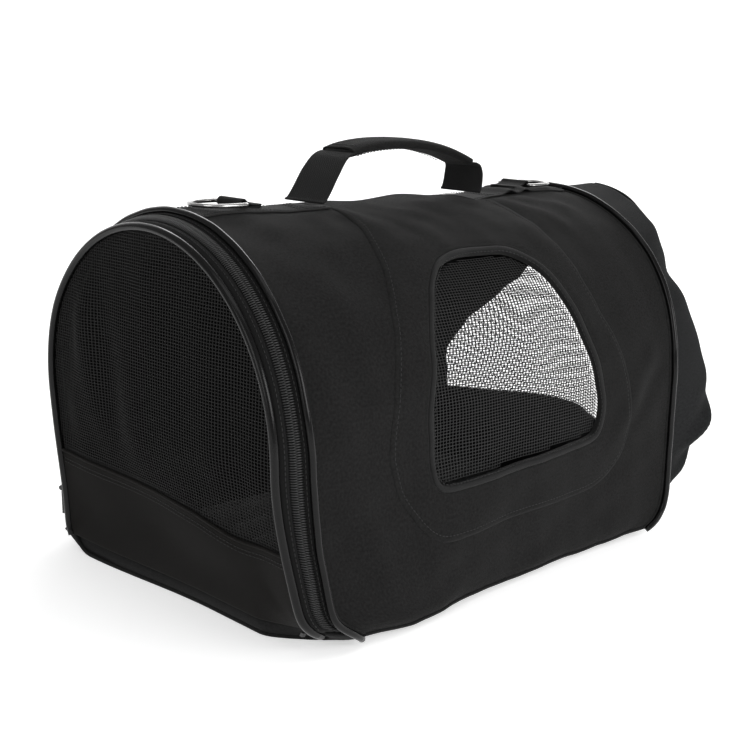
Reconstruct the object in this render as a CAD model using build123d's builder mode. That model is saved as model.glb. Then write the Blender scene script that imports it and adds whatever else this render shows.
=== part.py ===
from build123d import *
import os
from math import asin, atan2, degrees, hypot

# A soft pet carrier: a D-shaped fabric tunnel on a stiff base, with a zipped mesh door at
# one end, a soft end with a net panel at the other, a mesh window in the near side and a
# webbing handle on the ridge.
# Millimetres. X runs from the door (-X) to the soft end (+X), +Z is up, and the origin is
# the centre of the underside of the base.

# ---- driving sizes -------------------------------------------------------------------
body_length = 400.0        # tunnel, door seam to rear seam
half_width = 148.0         # tunnel, also the radius of its round top
height = 278.0             # tunnel, floor to ridge
corner_radius = 30.0       # lower edges of the tunnel
wall = 4.0                 # outer cloth, foam and lining sewn as one
cloth = 1.2                # a single layer of coated cloth
tray_rim = 12.0            # height of the base tray's turned-up edge

piping_radius = 2.5        # vinyl piping at the two body seams
door_ring_radius = 3.0     # vinyl piping round the door
wire_radius = 1.2          # spring-steel hoops inside the piping
seat_gap = 0.1             # between round trim and the cloth it is sewn to
bore_gap = 0.05            # round a wire in its piping
running_gap = 0.5          # between pieces that move past each other

door_reach = 21.0          # how far the top of the door stands ahead of the front seam
door_reach_low = 9.0       # the same at the floor
door_inset = 7.0           # how much smaller the door end of the zip band is, all round
sill_height = 14.0         # cloth step under the door, where the zip ends
tape_share = 0.22          # how much of the zip band the body's tape takes
coil_share = 0.40          # where the body's half of the coil ends
coil_split = 0.04          # gap between the two halves of the coil
coil_proud = 1.0           # how far the coil stands out of its tapes
door_corner = 26.0         # lower corners of the door
band_seam = 74.0           # height of the seam between the door's cloth and mesh
seam_tape_width = 8.0

window_half_width = 99.0
window_bottom = 90.0
window_top = 249.0
window_side = (93.5, 160.0)
window_shoulder = (77.0, 221.0)
window_corner = 20.0
window_shoulder_round = 34.0
mesh_sheet = 0.8
mesh_overlap = 7.0         # how far the window mesh runs on behind the cloth
binding_width = 3.0
binding_proud = 0.8

saddle_half_width = 132.0  # panel that carries the windows, over the back of the tunnel
saddle_bottom = 55.0
saddle_corner = 42.0
saddle_widest = 118.0      # height where its sides start to lean in
saddle_bulge = (112.0, 205.0)
saddle_half_top = 74.0

board_length, board_width, board_thick = 372.0, 226.0, 3.0
mat_length, mat_width, mat_thick = 366.0, 220.0, 14.0
mat_edge = 5.0

end_reach_top = 62.0       # soft end beyond the rear seam, at the ridge
end_reach_low = 22.0       # the same at the floor
end_form = ((0.0, 1.0), (0.6, 4.0), (1.0, 20.0))  # share of its reach, inset all round
end_cloth = 2.0
end_hollow = 0.96          # the same shares for its inner face
end_net_half, end_net_top, end_net_low = 112.0, 243.0, 80.0   # outline of its net panel

webbing_width = 45.0
webbing = 1.6
strap_start = 6.0          # from each body seam to the outer end of the ridge strap
strap_end = 78.0           # distance of its inner end from the middle of the ridge
handle_foot = 84.0         # where each leg of the handle leaves the ridge
leg_top_front = (-54.0, 316.0)
leg_top_rear = (87.0, 303.0)
grip_rise = 12.5           # how far the grip arches above its two ends
grip_width, grip_thick = 40.0, 8.0
core_width, core_thick = 34.0, 3.2
leg_gap = 3.6              # between the rear leg and the grip, for the fold
foot_gap = 0.3             # under each leg's hinge line

d_wire = 2.0               # D-ring wire radius
d_bar = 152.0              # distance of each D-ring's bar from the middle of the ridge
d_half_width = 19.0        # wire centre to the middle of the ring
d_depth = 33.0             # bar to nose, wire centres
loop_width = 28.0
loop_cloth = 1.5
loop_tail = 16.0
loop_gap = 0.4

slider_height = 46.0       # where the zip slider waits on the far side, zip closed
slider_length, slider_width, slider_thick = 13.0, 6.5, 2.4
ear_thick = 1.0            # the two ears that hold the pull's pin
slider_gap = 0.8           # over the coil, whose band twists a little along the leg
pull_length, pull_width, pull_thick = 22.0, 4.4, 1.4
pull_pin, pull_eye, pin_gap = 0.8, 2.0, 0.3
stop_length = 3.0          # metal end stops of the zip

# ---- worked out from them ------------------------------------------------------------
front_x = -body_length / 2
rear_x = body_length / 2
spring = height - half_width
through = 2 * height
bodice = dict(half=half_width, top=height, bottom=0.0, corner=corner_radius)


def arch(plane, half, top, bottom, corner):
    """A D outline on a plane: round over the top, flat below, with rounded lower corners."""
    with BuildSketch(plane) as drawing:
        with BuildLine():
            crown = CenterArc((0, top - half), half, 0, 180)
            Polyline(crown @ 1, (-half, bottom), (half, bottom), crown @ 0)
        make_face()
        fillet(drawing.vertices().group_by(Axis.Y)[0], corner)
    return drawing.sketch


def tunnel_arch(x, inset=0.0):
    """The tunnel's own outline across X, inset by a distance, or outset if negative."""
    return arch(
        Plane.YZ.offset(x), half_width - inset, height - inset, inset, corner_radius - inset
    )


def tunnel_skin(outer, inner):
    """Adds a skin of the tunnel, between two insets of its outline."""
    extrude(tunnel_arch(front_x, outer), amount=body_length)
    extrude(tunnel_arch(front_x, inner), amount=body_length, mode=Mode.SUBTRACT)


def window_shape(inset=0.0):
    """The window opening, drawn in X and Z: flat sill, leaning sides, round crown."""
    sill = (window_half_width, window_bottom)
    with BuildSketch(Plane.XZ) as drawing:
        with BuildLine():
            side = ThreePointArc(sill, window_side, window_shoulder)
            mirror(side, about=Plane.YZ)
            shoulder = Vector(side @ 1)
            ThreePointArc(shoulder, (0, window_top), (-shoulder.X, shoulder.Y))
            Line(sill, (-window_half_width, window_bottom))
        make_face()
        fillet(drawing.vertices().group_by(Axis.Y)[0], window_corner)
        fillet(drawing.vertices().group_by(Axis.Y)[-1], window_shoulder_round)
        if inset:
            offset(amount=-inset, mode=Mode.REPLACE)
    return drawing.sketch


def saddle_shape():
    """The outline of the window panel, drawn in X and Z, running out past the ridge."""
    over = height + wall
    with BuildSketch(Plane.XZ) as drawing:
        with BuildLine():
            side = ThreePointArc(
                (saddle_half_width, saddle_widest), saddle_bulge, (saddle_half_top, over)
            )
            Polyline(side @ 0, (saddle_half_width, saddle_bottom), (0, saddle_bottom))
            Line(side @ 1, (0, over))
            mirror(about=Plane.YZ)
        make_face()
        fillet(drawing.vertices().group_by(Axis.Y)[0], saddle_corner)
    return drawing.sketch


def floor_box(low, high):
    """Everything between two heights, to cut the tunnel's skins by."""
    with BuildSketch(Plane.XY.offset(low)) as drawing:
        Rectangle(through, through)
    return extrude(drawing.sketch, amount=high - low, mode=Mode.PRIVATE)


def save(piece, label):
    piece.part.label = label
    export_step(piece.part, f"parts/{label}.step")


os.makedirs("parts", exist_ok=True)

# ---- tunnel and base -----------------------------------------------------------------
with BuildPart() as body_shell:
    tunnel_skin(0, wall)
    add(floor_box(0, tray_rim), mode=Mode.SUBTRACT)
    extrude(window_shape(), amount=through, mode=Mode.SUBTRACT)
save(body_shell, "body_shell")

with BuildPart() as base_panel:
    tunnel_skin(0, wall)
    add(floor_box(0, tray_rim), mode=Mode.INTERSECT)
save(base_panel, "base_panel")

with BuildPart() as base_board:
    with BuildSketch(Plane.XY.offset(wall)):
        RectangleRounded(board_length, board_width, corner_radius)
    extrude(amount=board_thick)
save(base_board, "base_board")

with BuildPart() as floor_mat:
    with BuildSketch(Plane.XY.offset(wall + board_thick)):
        RectangleRounded(mat_length, mat_width, corner_radius)
    extrude(amount=mat_thick)
    fillet(floor_mat.edges().group_by(Axis.Z)[-1], mat_edge)
save(floor_mat, "floor_mat")

with BuildPart() as saddle_panel:
    tunnel_skin(-cloth, 0)
    extrude(saddle_shape(), amount=through, both=True, mode=Mode.INTERSECT)
    extrude(window_shape(), amount=through, mode=Mode.SUBTRACT)
save(saddle_panel, "saddle_panel")

# ---- window in the near side ---------------------------------------------------------
with BuildPart() as window_mesh:
    tunnel_skin(wall, wall + mesh_sheet)
    extrude(window_shape(-mesh_overlap), amount=through, mode=Mode.INTERSECT)
save(window_mesh, "window_mesh_near")

with BuildPart() as window_binding:
    tunnel_skin(-cloth - binding_proud, wall)
    extrude(window_shape(), amount=through, mode=Mode.INTERSECT)
    extrude(window_shape(binding_width), amount=through, mode=Mode.SUBTRACT)
save(window_binding, "window_binding_near")


# ---- piping hoops at the two body seams ----------------------------------------------
def hoop_line(plane, half, top, bottom, corner, lowest):
    """The open line of a hoop, ending in each lower corner at a given height."""
    sweep = degrees(asin((bottom + corner - lowest) / corner))
    with BuildLine(plane) as line:
        CenterArc((0, top - half), half, 0, 180)
        for turn, start in ((1, 0), (-1, 180)):
            Line((turn * half, top - half), (turn * half, bottom + corner))
            CenterArc((turn * (half - corner), bottom + corner), corner, start, -turn * sweep)
    return line.wire()


def tube(path, outer, inner=0.0):
    """Adds a round tube, or a bar where it has no bore, along a line."""
    with BuildSketch(Plane(origin=path @ 0, z_dir=path % 0)) as ring:
        Circle(outer)
        if inner:
            Circle(inner, mode=Mode.SUBTRACT)
    sweep(ring.sketch, path=path)


piping_out = piping_radius + seat_gap
for seam_name, seam_x in {"front": front_x, "rear": rear_x}.items():
    seam_line = hoop_line(
        Plane.YZ.offset(seam_x),
        half_width + piping_out,
        height + piping_out,
        -piping_out,
        corner_radius + piping_out,
        2 * piping_radius,
    )
    with BuildPart() as piping:
        tube(seam_line, piping_radius, wire_radius + bore_gap)
    save(piping, f"{seam_name}_piping")

    with BuildPart() as hoop_wire:
        tube(seam_line, wire_radius)
    save(hoop_wire, f"{seam_name}_hoop_wire")


# ---- zip band between the front seam and the door ------------------------------------
def band_plane(share, ahead=0.0):
    """A leaning cross plane of the zip band: 0 is at the front seam, 1 at the door."""
    low = front_x - door_reach_low * share
    top = front_x - door_reach * share
    plane = Plane(origin=(low, 0, 0), x_dir=(0, 1, 0), z_dir=(height, 0, low - top))
    return plane.offset(-ahead)


def band_arch(share, inset=0.0, ahead=0.0):
    """The band's outline at a share of its way to the door, inset by a distance."""
    smaller = door_inset * share + inset
    corner = corner_radius + (door_corner - corner_radius) * share - inset
    plane = band_plane(share, ahead)
    return arch(plane, half_width - smaller, height - smaller, inset, corner)


def band_strip(start, end, outer, inner):
    """Adds a strip of the band between two shares of its width and two insets."""
    loft([band_arch(start, outer), band_arch(end, outer)], ruled=True)
    loft([band_arch(start, inner), band_arch(end, inner)], ruled=True, mode=Mode.SUBTRACT)


zip_low = sill_height + stop_length
door_low = sill_height + running_gap

with BuildPart() as door_sill:
    band_strip(0, 1, 0, wall)
    add(floor_box(0, sill_height), mode=Mode.INTERSECT)
save(door_sill, "door_sill")

with BuildPart() as zip_tape_body:
    band_strip(0, tape_share, 0, cloth)
    add(floor_box(0, sill_height), mode=Mode.SUBTRACT)
save(zip_tape_body, "zip_tape_body")

with BuildPart() as zip_coil_body:
    band_strip(tape_share, coil_share, -coil_proud, cloth)
    add(floor_box(-wall, zip_low), mode=Mode.SUBTRACT)
save(zip_coil_body, "zip_coil_body")

with BuildPart() as zip_stops:
    band_strip(tape_share, coil_share, -coil_proud, cloth)
    add(floor_box(sill_height, zip_low), mode=Mode.INTERSECT)
save(zip_stops, "zip_stops")

with BuildPart() as zip_coil_door:
    band_strip(coil_share + coil_split, 2 * coil_share + coil_split - tape_share, -coil_proud, cloth)
    add(floor_box(-wall, zip_low), mode=Mode.SUBTRACT)
save(zip_coil_door, "zip_coil_door")

with BuildPart() as zip_tape_door:
    band_strip(2 * coil_share + coil_split - tape_share, 1, 0, cloth)
    add(floor_box(0, door_low), mode=Mode.SUBTRACT)
save(zip_tape_door, "zip_tape_door")

# ---- door ----------------------------------------------------------------------------
ring_ahead = door_ring_radius + seat_gap
ring_inset = cloth / 2
ring_half = half_width - door_inset - ring_inset
ring_corner = door_corner - ring_inset
door_line = hoop_line(
    band_plane(1, ring_ahead),
    ring_half,
    height - door_inset - ring_inset,
    ring_inset,
    ring_corner,
    door_low + door_ring_radius,
)
with BuildPart() as door_piping:
    tube(door_line, door_ring_radius, wire_radius + bore_gap)
save(door_piping, "door_piping")

with BuildPart() as door_hoop_wire:
    tube(door_line, wire_radius)
save(door_hoop_wire, "door_hoop_wire")

door_face = band_arch(1, ring_inset + door_ring_radius, ring_ahead)

for panel_name, low, high in (
    ("door_lower_panel", door_low, band_seam),
    ("door_mesh", band_seam, through),
):
    with BuildPart() as door_panel:
        extrude(door_face, amount=cloth / 2, both=True)
        add(floor_box(low, high), mode=Mode.INTERSECT)
    save(door_panel, panel_name)

with BuildPart() as door_seam_tape:
    extrude(band_arch(1, ring_inset + 2 * door_ring_radius, ring_ahead + cloth / 2), amount=-cloth)
    tape_half = seam_tape_width / 2
    add(floor_box(band_seam - tape_half, band_seam + tape_half), mode=Mode.INTERSECT)
save(door_seam_tape, "door_seam_tape")

# ---- zip slider and its pull, on the far side ----------------------------------------
zip_share = coil_share + coil_split / 2
slider_mid = (slider_height + spring) / 2
lean_here = door_reach_low + (door_reach - door_reach_low) * slider_mid / height
outward = Vector(-door_inset, lean_here, 0).normalized()
along = Vector((door_reach_low - door_reach) * zip_share / height, 0, 1).normalized()
slider_spot = Vector(
    front_x - zip_share * (door_reach_low + (door_reach - door_reach_low) * slider_height / height),
    half_width - zip_share * door_inset,
    slider_height,
)
slider_seat = coil_proud + slider_gap
slider_top = slider_seat + slider_thick
pin_drop = pull_eye + loop_gap
ear_gap = pull_width / 2 + loop_gap
across_plane = Plane(
    origin=slider_spot + outward * (slider_top + pin_drop),
    x_dir=along,
    z_dir=along.cross(outward),
)

with BuildPart() as zip_slider:
    with BuildSketch(Plane(origin=slider_spot + outward * slider_seat, x_dir=along, z_dir=outward)):
        SlotOverall(slider_length, slider_width)
    extrude(amount=slider_thick)
    with BuildSketch(across_plane):
        with Locations((0, -pin_drop)):
            Rectangle(2 * pull_eye, pin_drop, align=(Align.CENTER, Align.MIN))
        Circle(pull_eye)
    extrude(amount=ear_gap + ear_thick, both=True)
    with BuildSketch(across_plane):
        with Locations((0, -pin_drop)):
            Rectangle(3 * pull_eye, 3 * pull_eye, align=(Align.CENTER, Align.MIN))
    extrude(amount=ear_gap, both=True, mode=Mode.SUBTRACT)
    with BuildSketch(across_plane):
        Circle(pull_pin)
    extrude(amount=ear_gap + ear_thick, both=True)
save(zip_slider, "zip_slider")

with BuildPart() as zip_pull:
    with BuildSketch(across_plane):
        Circle(pull_eye)
        with Locations((-pull_length / 2, 0)):
            Rectangle(pull_length, pull_thick)
    extrude(amount=pull_width / 2, both=True)
    with BuildSketch(across_plane):
        Circle(pull_pin + pin_gap)
    extrude(amount=pull_width, both=True, mode=Mode.SUBTRACT)
save(zip_pull, "zip_pull")


# ---- soft end ------------------------------------------------------------------------
def end_arch(share, inset):
    """The soft end's outline at a share of its reach, in a plane that leans with it."""
    low = end_reach_low * share
    lean = (end_reach_top - end_reach_low) * share
    plane = Plane(origin=(rear_x + low, 0, 0), x_dir=(0, 1, 0), z_dir=(height, 0, -lean))
    return arch(plane, half_width - inset, height - inset, inset, corner_radius)


with BuildPart() as end_shell:
    loft([end_arch(share, inset) for share, inset in end_form])
    inner_form = [(share * end_hollow, inset + end_cloth) for share, inset in end_form]
    loft([end_arch(share, inset) for share, inset in inner_form], mode=Mode.SUBTRACT)

end_window = extrude(
    arch(Plane.YZ.offset(rear_x), end_net_half, end_net_top, end_net_low, corner_radius),
    amount=through,
    mode=Mode.PRIVATE,
)
for end_piece, mode in (("soft_end", Mode.SUBTRACT), ("end_net", Mode.INTERSECT)):
    with BuildPart() as made:
        add(end_shell)
        add(end_window, mode=mode)
    save(made, end_piece)

# ---- webbing along the ridge, with a D-ring at each end ------------------------------
strap_top = height + webbing
bar_rise = strap_top + loop_cloth + loop_gap + d_wire
foot_rise = strap_top + foot_gap + webbing / 2
strap_far = rear_x - strap_start
for end_name, way in {"front": -1, "rear": 1}.items():
    middle = way * (strap_far + strap_end) / 2
    with BuildPart() as ridge_strap:
        tunnel_skin(-webbing, 0)
        with BuildSketch(Plane.XY.offset(spring)):
            with Locations((middle, 0)):
                Rectangle(strap_far - strap_end, webbing_width)
        extrude(amount=height, mode=Mode.INTERSECT)
    save(ridge_strap, f"ridge_strap_{end_name}")

    with BuildPart() as d_loop:
        with BuildSketch(Plane.XZ):
            with Locations((way * d_bar, bar_rise)):
                Circle(d_wire + loop_gap + loop_cloth)
            with Locations((way * (d_bar - loop_tail / 2), strap_top)):
                Rectangle(loop_tail, 4 * loop_cloth)
            with Locations((way * d_bar, bar_rise)):
                Circle(d_wire + loop_gap, mode=Mode.SUBTRACT)
        extrude(amount=loop_width / 2, both=True)
        extrude(tunnel_arch(front_x, -webbing), amount=body_length, mode=Mode.SUBTRACT)
    save(d_loop, f"d_ring_loop_{end_name}")

    with BuildSketch(Plane.XY.offset(bar_rise)) as d_shape:
        with BuildLine():
            side_length = d_depth - d_half_width
            bar_x, shoulder_x = way * d_bar, way * (d_bar + side_length)
            nose = ThreePointArc(
                (shoulder_x, -d_half_width), (way * (d_bar + d_depth), 0), (shoulder_x, d_half_width)
            )
            Polyline(nose @ 1, (bar_x, d_half_width), (bar_x, -d_half_width), nose @ 0)
        make_face()
        fillet(d_shape.vertices().sort_by_distance((bar_x, 0))[:2], 2 * d_wire)
    with BuildPart() as d_ring:
        tube(d_shape.sketch.face().outer_wire(), d_wire)
    save(d_ring, f"d_ring_{end_name}")


# ---- handle --------------------------------------------------------------------------
def leg(foot, top):
    """Adds one webbing leg of the handle, a flat strip with rounded ends."""
    run = hypot(top[0] - foot[0], top[1] - foot[1])
    tilt = degrees(atan2(top[1] - foot[1], top[0] - foot[0]))
    with BuildSketch(Plane.XZ) as drawing:
        with Locations(((foot[0] + top[0]) / 2, (foot[1] + top[1]) / 2)):
            SlotCenterToCenter(run, webbing, rotation=tilt)
    extrude(drawing.sketch, amount=webbing_width / 2, both=True)


foot_front = (-handle_foot, foot_rise)
foot_rear = (handle_foot, foot_rise)
with BuildPart() as leg_front:
    leg(foot_front, leg_top_front)
save(leg_front, "handle_leg_front")

with BuildPart() as leg_rear:
    leg(foot_rear, leg_top_rear)
save(leg_rear, "handle_leg_rear")

grip_peak = (
    (leg_top_front[0] + leg_top_rear[0]) / 2,
    (leg_top_front[1] + leg_top_rear[1]) / 2 + grip_rise,
)
end_round = (grip_thick + webbing) / 2


def grip_bar(thick, width, mode=Mode.ADD):
    """Adds, or cuts, an arched bar along the grip, with rounded ends."""
    with BuildSketch(Plane.XZ) as drawing:
        with BuildLine():
            whole = ThreePointArc(leg_top_front, grip_peak, leg_top_rear, mode=Mode.PRIVATE)
            start = (end_round + loop_gap) / whole.length
            end = 1 - (end_round + leg_gap) / whole.length
            line = ThreePointArc(whole @ start, whole @ 0.5, whole @ end, mode=Mode.PRIVATE)
        SlotArc(line, thick)
    extrude(drawing.sketch, amount=width / 2, both=True, mode=mode)


with BuildPart() as grip_core:
    grip_bar(core_thick, core_width)
save(grip_core, "handle_grip_core")

with BuildPart() as grip_sleeve:
    grip_bar(grip_thick, grip_width)
    grip_bar(core_thick, core_width, mode=Mode.SUBTRACT)
save(grip_sleeve, "handle_grip_sleeve")
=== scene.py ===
# %% [markdown]
# # A soft pet carrier
# This script dresses the plain solids of a soft pet carrier in cloth, net, webbing and trim.
# All sizes are in millimetres and are turned into metres when a mesh is made. X runs from
# the net door to the soft end, and Z is up.

# %% The frame
import math

import bpy
import numpy as np
from mathutils import Matrix, Vector, geometry


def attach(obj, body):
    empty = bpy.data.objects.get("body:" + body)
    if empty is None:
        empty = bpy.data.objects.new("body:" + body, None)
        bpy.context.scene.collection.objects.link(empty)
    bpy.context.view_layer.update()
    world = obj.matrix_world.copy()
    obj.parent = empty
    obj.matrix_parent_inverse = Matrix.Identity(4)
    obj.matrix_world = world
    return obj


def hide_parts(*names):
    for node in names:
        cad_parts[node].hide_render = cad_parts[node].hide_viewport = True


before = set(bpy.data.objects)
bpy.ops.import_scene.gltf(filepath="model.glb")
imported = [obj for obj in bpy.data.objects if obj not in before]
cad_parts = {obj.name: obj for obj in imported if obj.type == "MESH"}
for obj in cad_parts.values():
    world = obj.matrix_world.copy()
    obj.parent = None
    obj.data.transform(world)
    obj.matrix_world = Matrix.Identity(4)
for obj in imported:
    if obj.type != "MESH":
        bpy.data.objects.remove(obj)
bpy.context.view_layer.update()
MM = 0.001

# %% [markdown]
# ## The camera
# A camera is placed by the direction it looks from and the point it looks at. Its matrix has
# three columns for its right, its up and its back. A small roll leans the picture a little.

# %% The camera
azimuth, elevation, roll = (math.radians(angle) for angle in (-43.253, 12.943, 1.191))
back = Vector(
    (math.sin(azimuth) * math.cos(elevation), -math.cos(azimuth) * math.cos(elevation), math.sin(elevation))
)
level_right = Vector((0, 0, 1)).cross(back).normalized()
level_up = back.cross(level_right)
right = level_right * math.cos(roll) + level_up * math.sin(roll)
up = level_up * math.cos(roll) - level_right * math.sin(roll)
camera = bpy.data.objects.new("camera", bpy.data.cameras.new("camera"))
camera.data.lens = 64.87
place = Vector((-0.0093, 0, 0.1371)) + back * 1.0904
camera.matrix_world = Matrix((right, up, back)).transposed().to_4x4()
camera.matrix_world.translation = place
bpy.context.scene.collection.objects.link(camera)
bpy.context.scene.camera = camera
print("camera at", tuple(round(value, 3) for value in place))

# %% [markdown]
# ## Floor and light
# The floor is one large plain sheet that curves up behind the object, so no horizon shows.
# Large area lamps give the soft light of a photo studio. A long lamp overhead draws the
# narrow highlights on the vinyl piping.

# %% Floor and light
def backdrop(depth=3.2, bend=1.2, width=9.0, steps=24):
    """The points and faces of a floor that curves up into a wall behind the object."""
    line = [(-depth, 0.0), (depth - bend, 0.0)]
    for t in range(1, steps + 1):
        turn = t * math.pi / 2 / steps
        line.append((depth - bend + bend * math.sin(turn), bend * (1 - math.cos(turn))))
    line.append((depth, 4.0))
    away = Vector((-back.x, -back.y, 0)).normalized()
    side = Vector((away.y, -away.x, 0))
    points = [away * run + side * way * width / 2 + Vector((0, 0, z)) for run, z in line for way in (-1, 1)]
    faces = [(2 * k, 2 * k + 1, 2 * k + 3, 2 * k + 2) for k in range(len(line) - 1)]
    return points, faces


floor_mesh = bpy.data.meshes.new("floor")
floor_points, floor_faces = backdrop()
floor_mesh.from_pydata(floor_points, [], floor_faces)
for polygon in floor_mesh.polygons:
    polygon.use_smooth = True
floor = bpy.data.objects.new("floor", floor_mesh)
bpy.context.scene.collection.objects.link(floor)
paper = bpy.data.materials.new("studio_paper")
paper.use_nodes = True
paper_shader = paper.node_tree.nodes["Principled BSDF"]
paper_shader.inputs["Base Color"].default_value = (0.92, 0.92, 0.92, 1)
paper_shader.inputs["Emission Color"].default_value = (1, 1, 1, 1)
paper_shader.inputs["Emission Strength"].default_value = 0.5
paper_shader.inputs["Roughness"].default_value = 0.9
floor_mesh.materials.append(paper)

LAMPS = {  # place, aim, size in metres, power in watts
    "overhead": ((-0.1, -0.5, 2.1), (0, 0, 0.15), (2.4, 0.7), 6),
    "door_side": ((-2.2, -0.7, 1.1), (-0.1, 0, 0.15), (1.2, 1.4), 11),
    "near_side": ((0.5, -2.2, 1.0), (0, 0, 0.12), (1.6, 1.0), 25),
    "behind": ((1.6, 1.4, 1.5), (0, 0, 0.2), (1.6, 0.8), 16),
}
for lamp_name, (spot, aim, size, power) in LAMPS.items():
    lamp = bpy.data.lights.new(lamp_name, "AREA")
    lamp.shape, lamp.size, lamp.size_y, lamp.energy = "RECTANGLE", size[0], size[1], power
    lamp_object = bpy.data.objects.new(lamp_name, lamp)
    lamp_object.location = spot
    lamp_object.rotation_euler = (Vector(aim) - Vector(spot)).to_track_quat("-Z", "Y").to_euler()
    bpy.context.scene.collection.objects.link(lamp_object)
world = bpy.context.scene.world or bpy.data.worlds.new("room")
bpy.context.scene.world = world
world.use_nodes = True
world.node_tree.nodes["Background"].inputs["Color"].default_value = (1, 1, 1, 1)
world.node_tree.nodes["Background"].inputs["Strength"].default_value = 0.36
bpy.context.scene.view_settings.view_transform = "Standard"
print(len(LAMPS), "lamps")

# %% [markdown]
# ## Writing materials as sums
# A material is a small program of nodes. Two helpers make it read like arithmetic: a Wire is
# the output of a node, and adding or multiplying wires adds the Math node that does it. A
# Finish is one material, with a single method that makes any other kind of node.

# %% Wire and Finish
class Wire:
    """The output of a node, which can be used in sums with other wires and with numbers."""

    def __init__(self, finish, socket):
        self.finish, self.socket = finish, socket

    def join(self, operation, first, second):
        return self.finish.node("Math", {"operation": operation}, {0: first, 1: second})

    def __add__(self, other):
        return self.join("ADD", self, other)

    def __mul__(self, other):
        return self.join("MULTIPLY", self, other)

    def __sub__(self, other):
        return self.join("SUBTRACT", self, other)

    def __rsub__(self, other):
        return self.join("SUBTRACT", other, self)

    def __pow__(self, other):
        return self.join("POWER", self, other)

    def max(self, other):
        return self.join("MAXIMUM", self, other)

    def bend(self, operation):
        return self.finish.node("Math", {"operation": operation}, {0: self})

    __radd__, __rmul__ = __add__, __mul__


class Finish:
    """One material. Keyword values go straight on the sockets of its shader."""

    def __init__(self, name, **constants):
        self.material = bpy.data.materials.new(name)
        self.material.use_nodes = True
        self.tree = self.material.node_tree
        self.shader = self.tree.nodes["Principled BSDF"]
        for socket, value in constants.items():
            self.shader.inputs[socket.replace("_", " ")].default_value = value

    def node(self, kind, settings=(), sockets=(), out=0):
        made = self.tree.nodes.new("ShaderNode" + kind)
        for key, value in dict(settings).items():
            setattr(made, key, value)
        for key, value in dict(sockets).items():
            if isinstance(value, Wire):
                self.tree.links.new(value.socket, made.inputs[key])
            else:
                made.inputs[key].default_value = value
        return Wire(self, made.outputs[out])

    def lay(self):
        """Where a point lies on the flat cloth, as two wires in millimetres."""
        flat = self.node("Attribute", {"attribute_name": "lay"}, out=1)
        return flat, [self.node("SeparateXYZ", (), {0: flat}, out=axis) for axis in (0, 1)]

    def wear(self):
        return self.node("Attribute", {"attribute_name": "wear"}, out=2)

    def noise(self, scale, detail=3.0, where=None):
        where = where or self.node("TexCoord", out=3)
        return self.node("TexNoise", (), {"Vector": where, "Scale": scale, "Detail": detail})

    def mix(self, factor, low, high):
        return self.node("Mix", {"data_type": "RGBA"}, {0: factor, 6: low, 7: high}, out=2)

    def feed(self, **wires):
        for socket, wire in wires.items():
            self.tree.links.new(wire.socket, self.shader.inputs[socket.replace("_", " ")])
        return self

    def bump(self, height, distance, strength=1.0):
        raised = self.node("Bump", (), {"Height": height, "Distance": distance * MM, "Strength": strength})
        return self.feed(Normal=raised)


def grey(level, warm=0.0):
    return (level * (1 + warm), level, level * (1 - warm), 1)


# %% [markdown]
# ## Woven and knitted finishes
# Coated nylon is a plain weave: each thread runs over one neighbour and under the next. The
# height of such a weave is a sum of two sine waves that swap places in a checkerboard. The
# finish reads a "lay" attribute, which says where each point lay on the flat cloth, so the
# threads follow the panel round every curve. A "wear" attribute is 1 on the edges that rub.

# %% Cloth finishes
def weave_height(finish, lay, pitch, slack=0.25):
    """The height of a plain weave with a thread every pitch millimetres."""
    flat, (along, across) = lay
    wander = (finish.noise(0.12, 2.0, flat) - 0.5) * slack * 6
    warp = ((along + wander) * (math.pi / pitch)).bend("SINE")
    weft = ((across + wander) * (math.pi / pitch)).bend("SINE")
    over = warp * weft * 0.5 + 0.5
    return (warp.bend("ABSOLUTE") * over).max(weft.bend("ABSOLUTE") * (1 - over))


def cloth(name, dark, light, pitch=0.62, rough=0.86, relief=0.16, warm=0.0, sheen=0.04):
    """Coated nylon cloth, a little uneven, with painted shade in the dips of its weave, and paler where it has been
    rubbed.
    """
    made = Finish(name, Sheen_Weight=sheen, Sheen_Roughness=0.45, Specular_IOR_Level=0.10)
    lay = made.lay()
    height = weave_height(made, lay, pitch)
    patchy = made.noise(9.0, 4.0) * 0.55 + made.noise(70.0, 3.0) * 0.45
    speckle = made.noise(0.5, 3.0, lay[0])
    # The weave height also darkens the dips between threads and lightens their crowns: painted shade, added to the
    # random tone.
    tone_and_weave_shade = patchy * 0.4 + (speckle - 0.5) * 2.2 + height * 0.3 + 0.12
    worn = made.wear() * (made.noise(160.0, 3.0) * 1.2 - 0.25)
    colour = made.mix(tone_and_weave_shade, grey(dark, warm), grey(light, warm))
    made.feed(
        Base_Color=made.mix(worn * 0.55, colour, grey(light * 2.1, warm)),
        Roughness=rough + speckle * 0.14 - worn * 0.12,
    )
    return made.bump(height * 0.8 + speckle * 0.35, relief)


def ribbed(name, dark, light, rib, cross, relief, rough=0.7, sheen=0.04):
    """Narrow tape or webbing, with cords along it and picks across it, and painted shade in the hollows between the
    cords.
    """
    made = Finish(name, Sheen_Weight=sheen, Sheen_Roughness=0.4, Specular_IOR_Level=0.2)
    flat, (along, across) = made.lay()
    cords = (across * (2 * math.pi / rib)).bend("SINE")
    half = cords.join("GREATER_THAN", cords, 0.0)
    picks = ((along + half * (cross / 2)) * (2 * math.pi / cross)).bend("SINE")
    height = cords.bend("ABSOLUTE") ** 0.7 * (picks * 0.32 + 0.68)
    fuzz = made.noise(1.6, 3.0, flat)
    # The rib height darkens the hollows between cords and lightens their crowns: painted shade, with random fuzz.
    tone_and_weave_shade = height * 0.75 + fuzz * 0.4 - 0.15
    worn = made.wear() * made.noise(120.0, 3.0)
    made.feed(
        Base_Color=made.mix(worn * 0.6, made.mix(tone_and_weave_shade, grey(dark), grey(light)), grey(light * 1.8)),
        Roughness=rough + fuzz * 0.2 - worn * 0.1,
    )
    return made.bump(height + fuzz * 0.2, relief)


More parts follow.
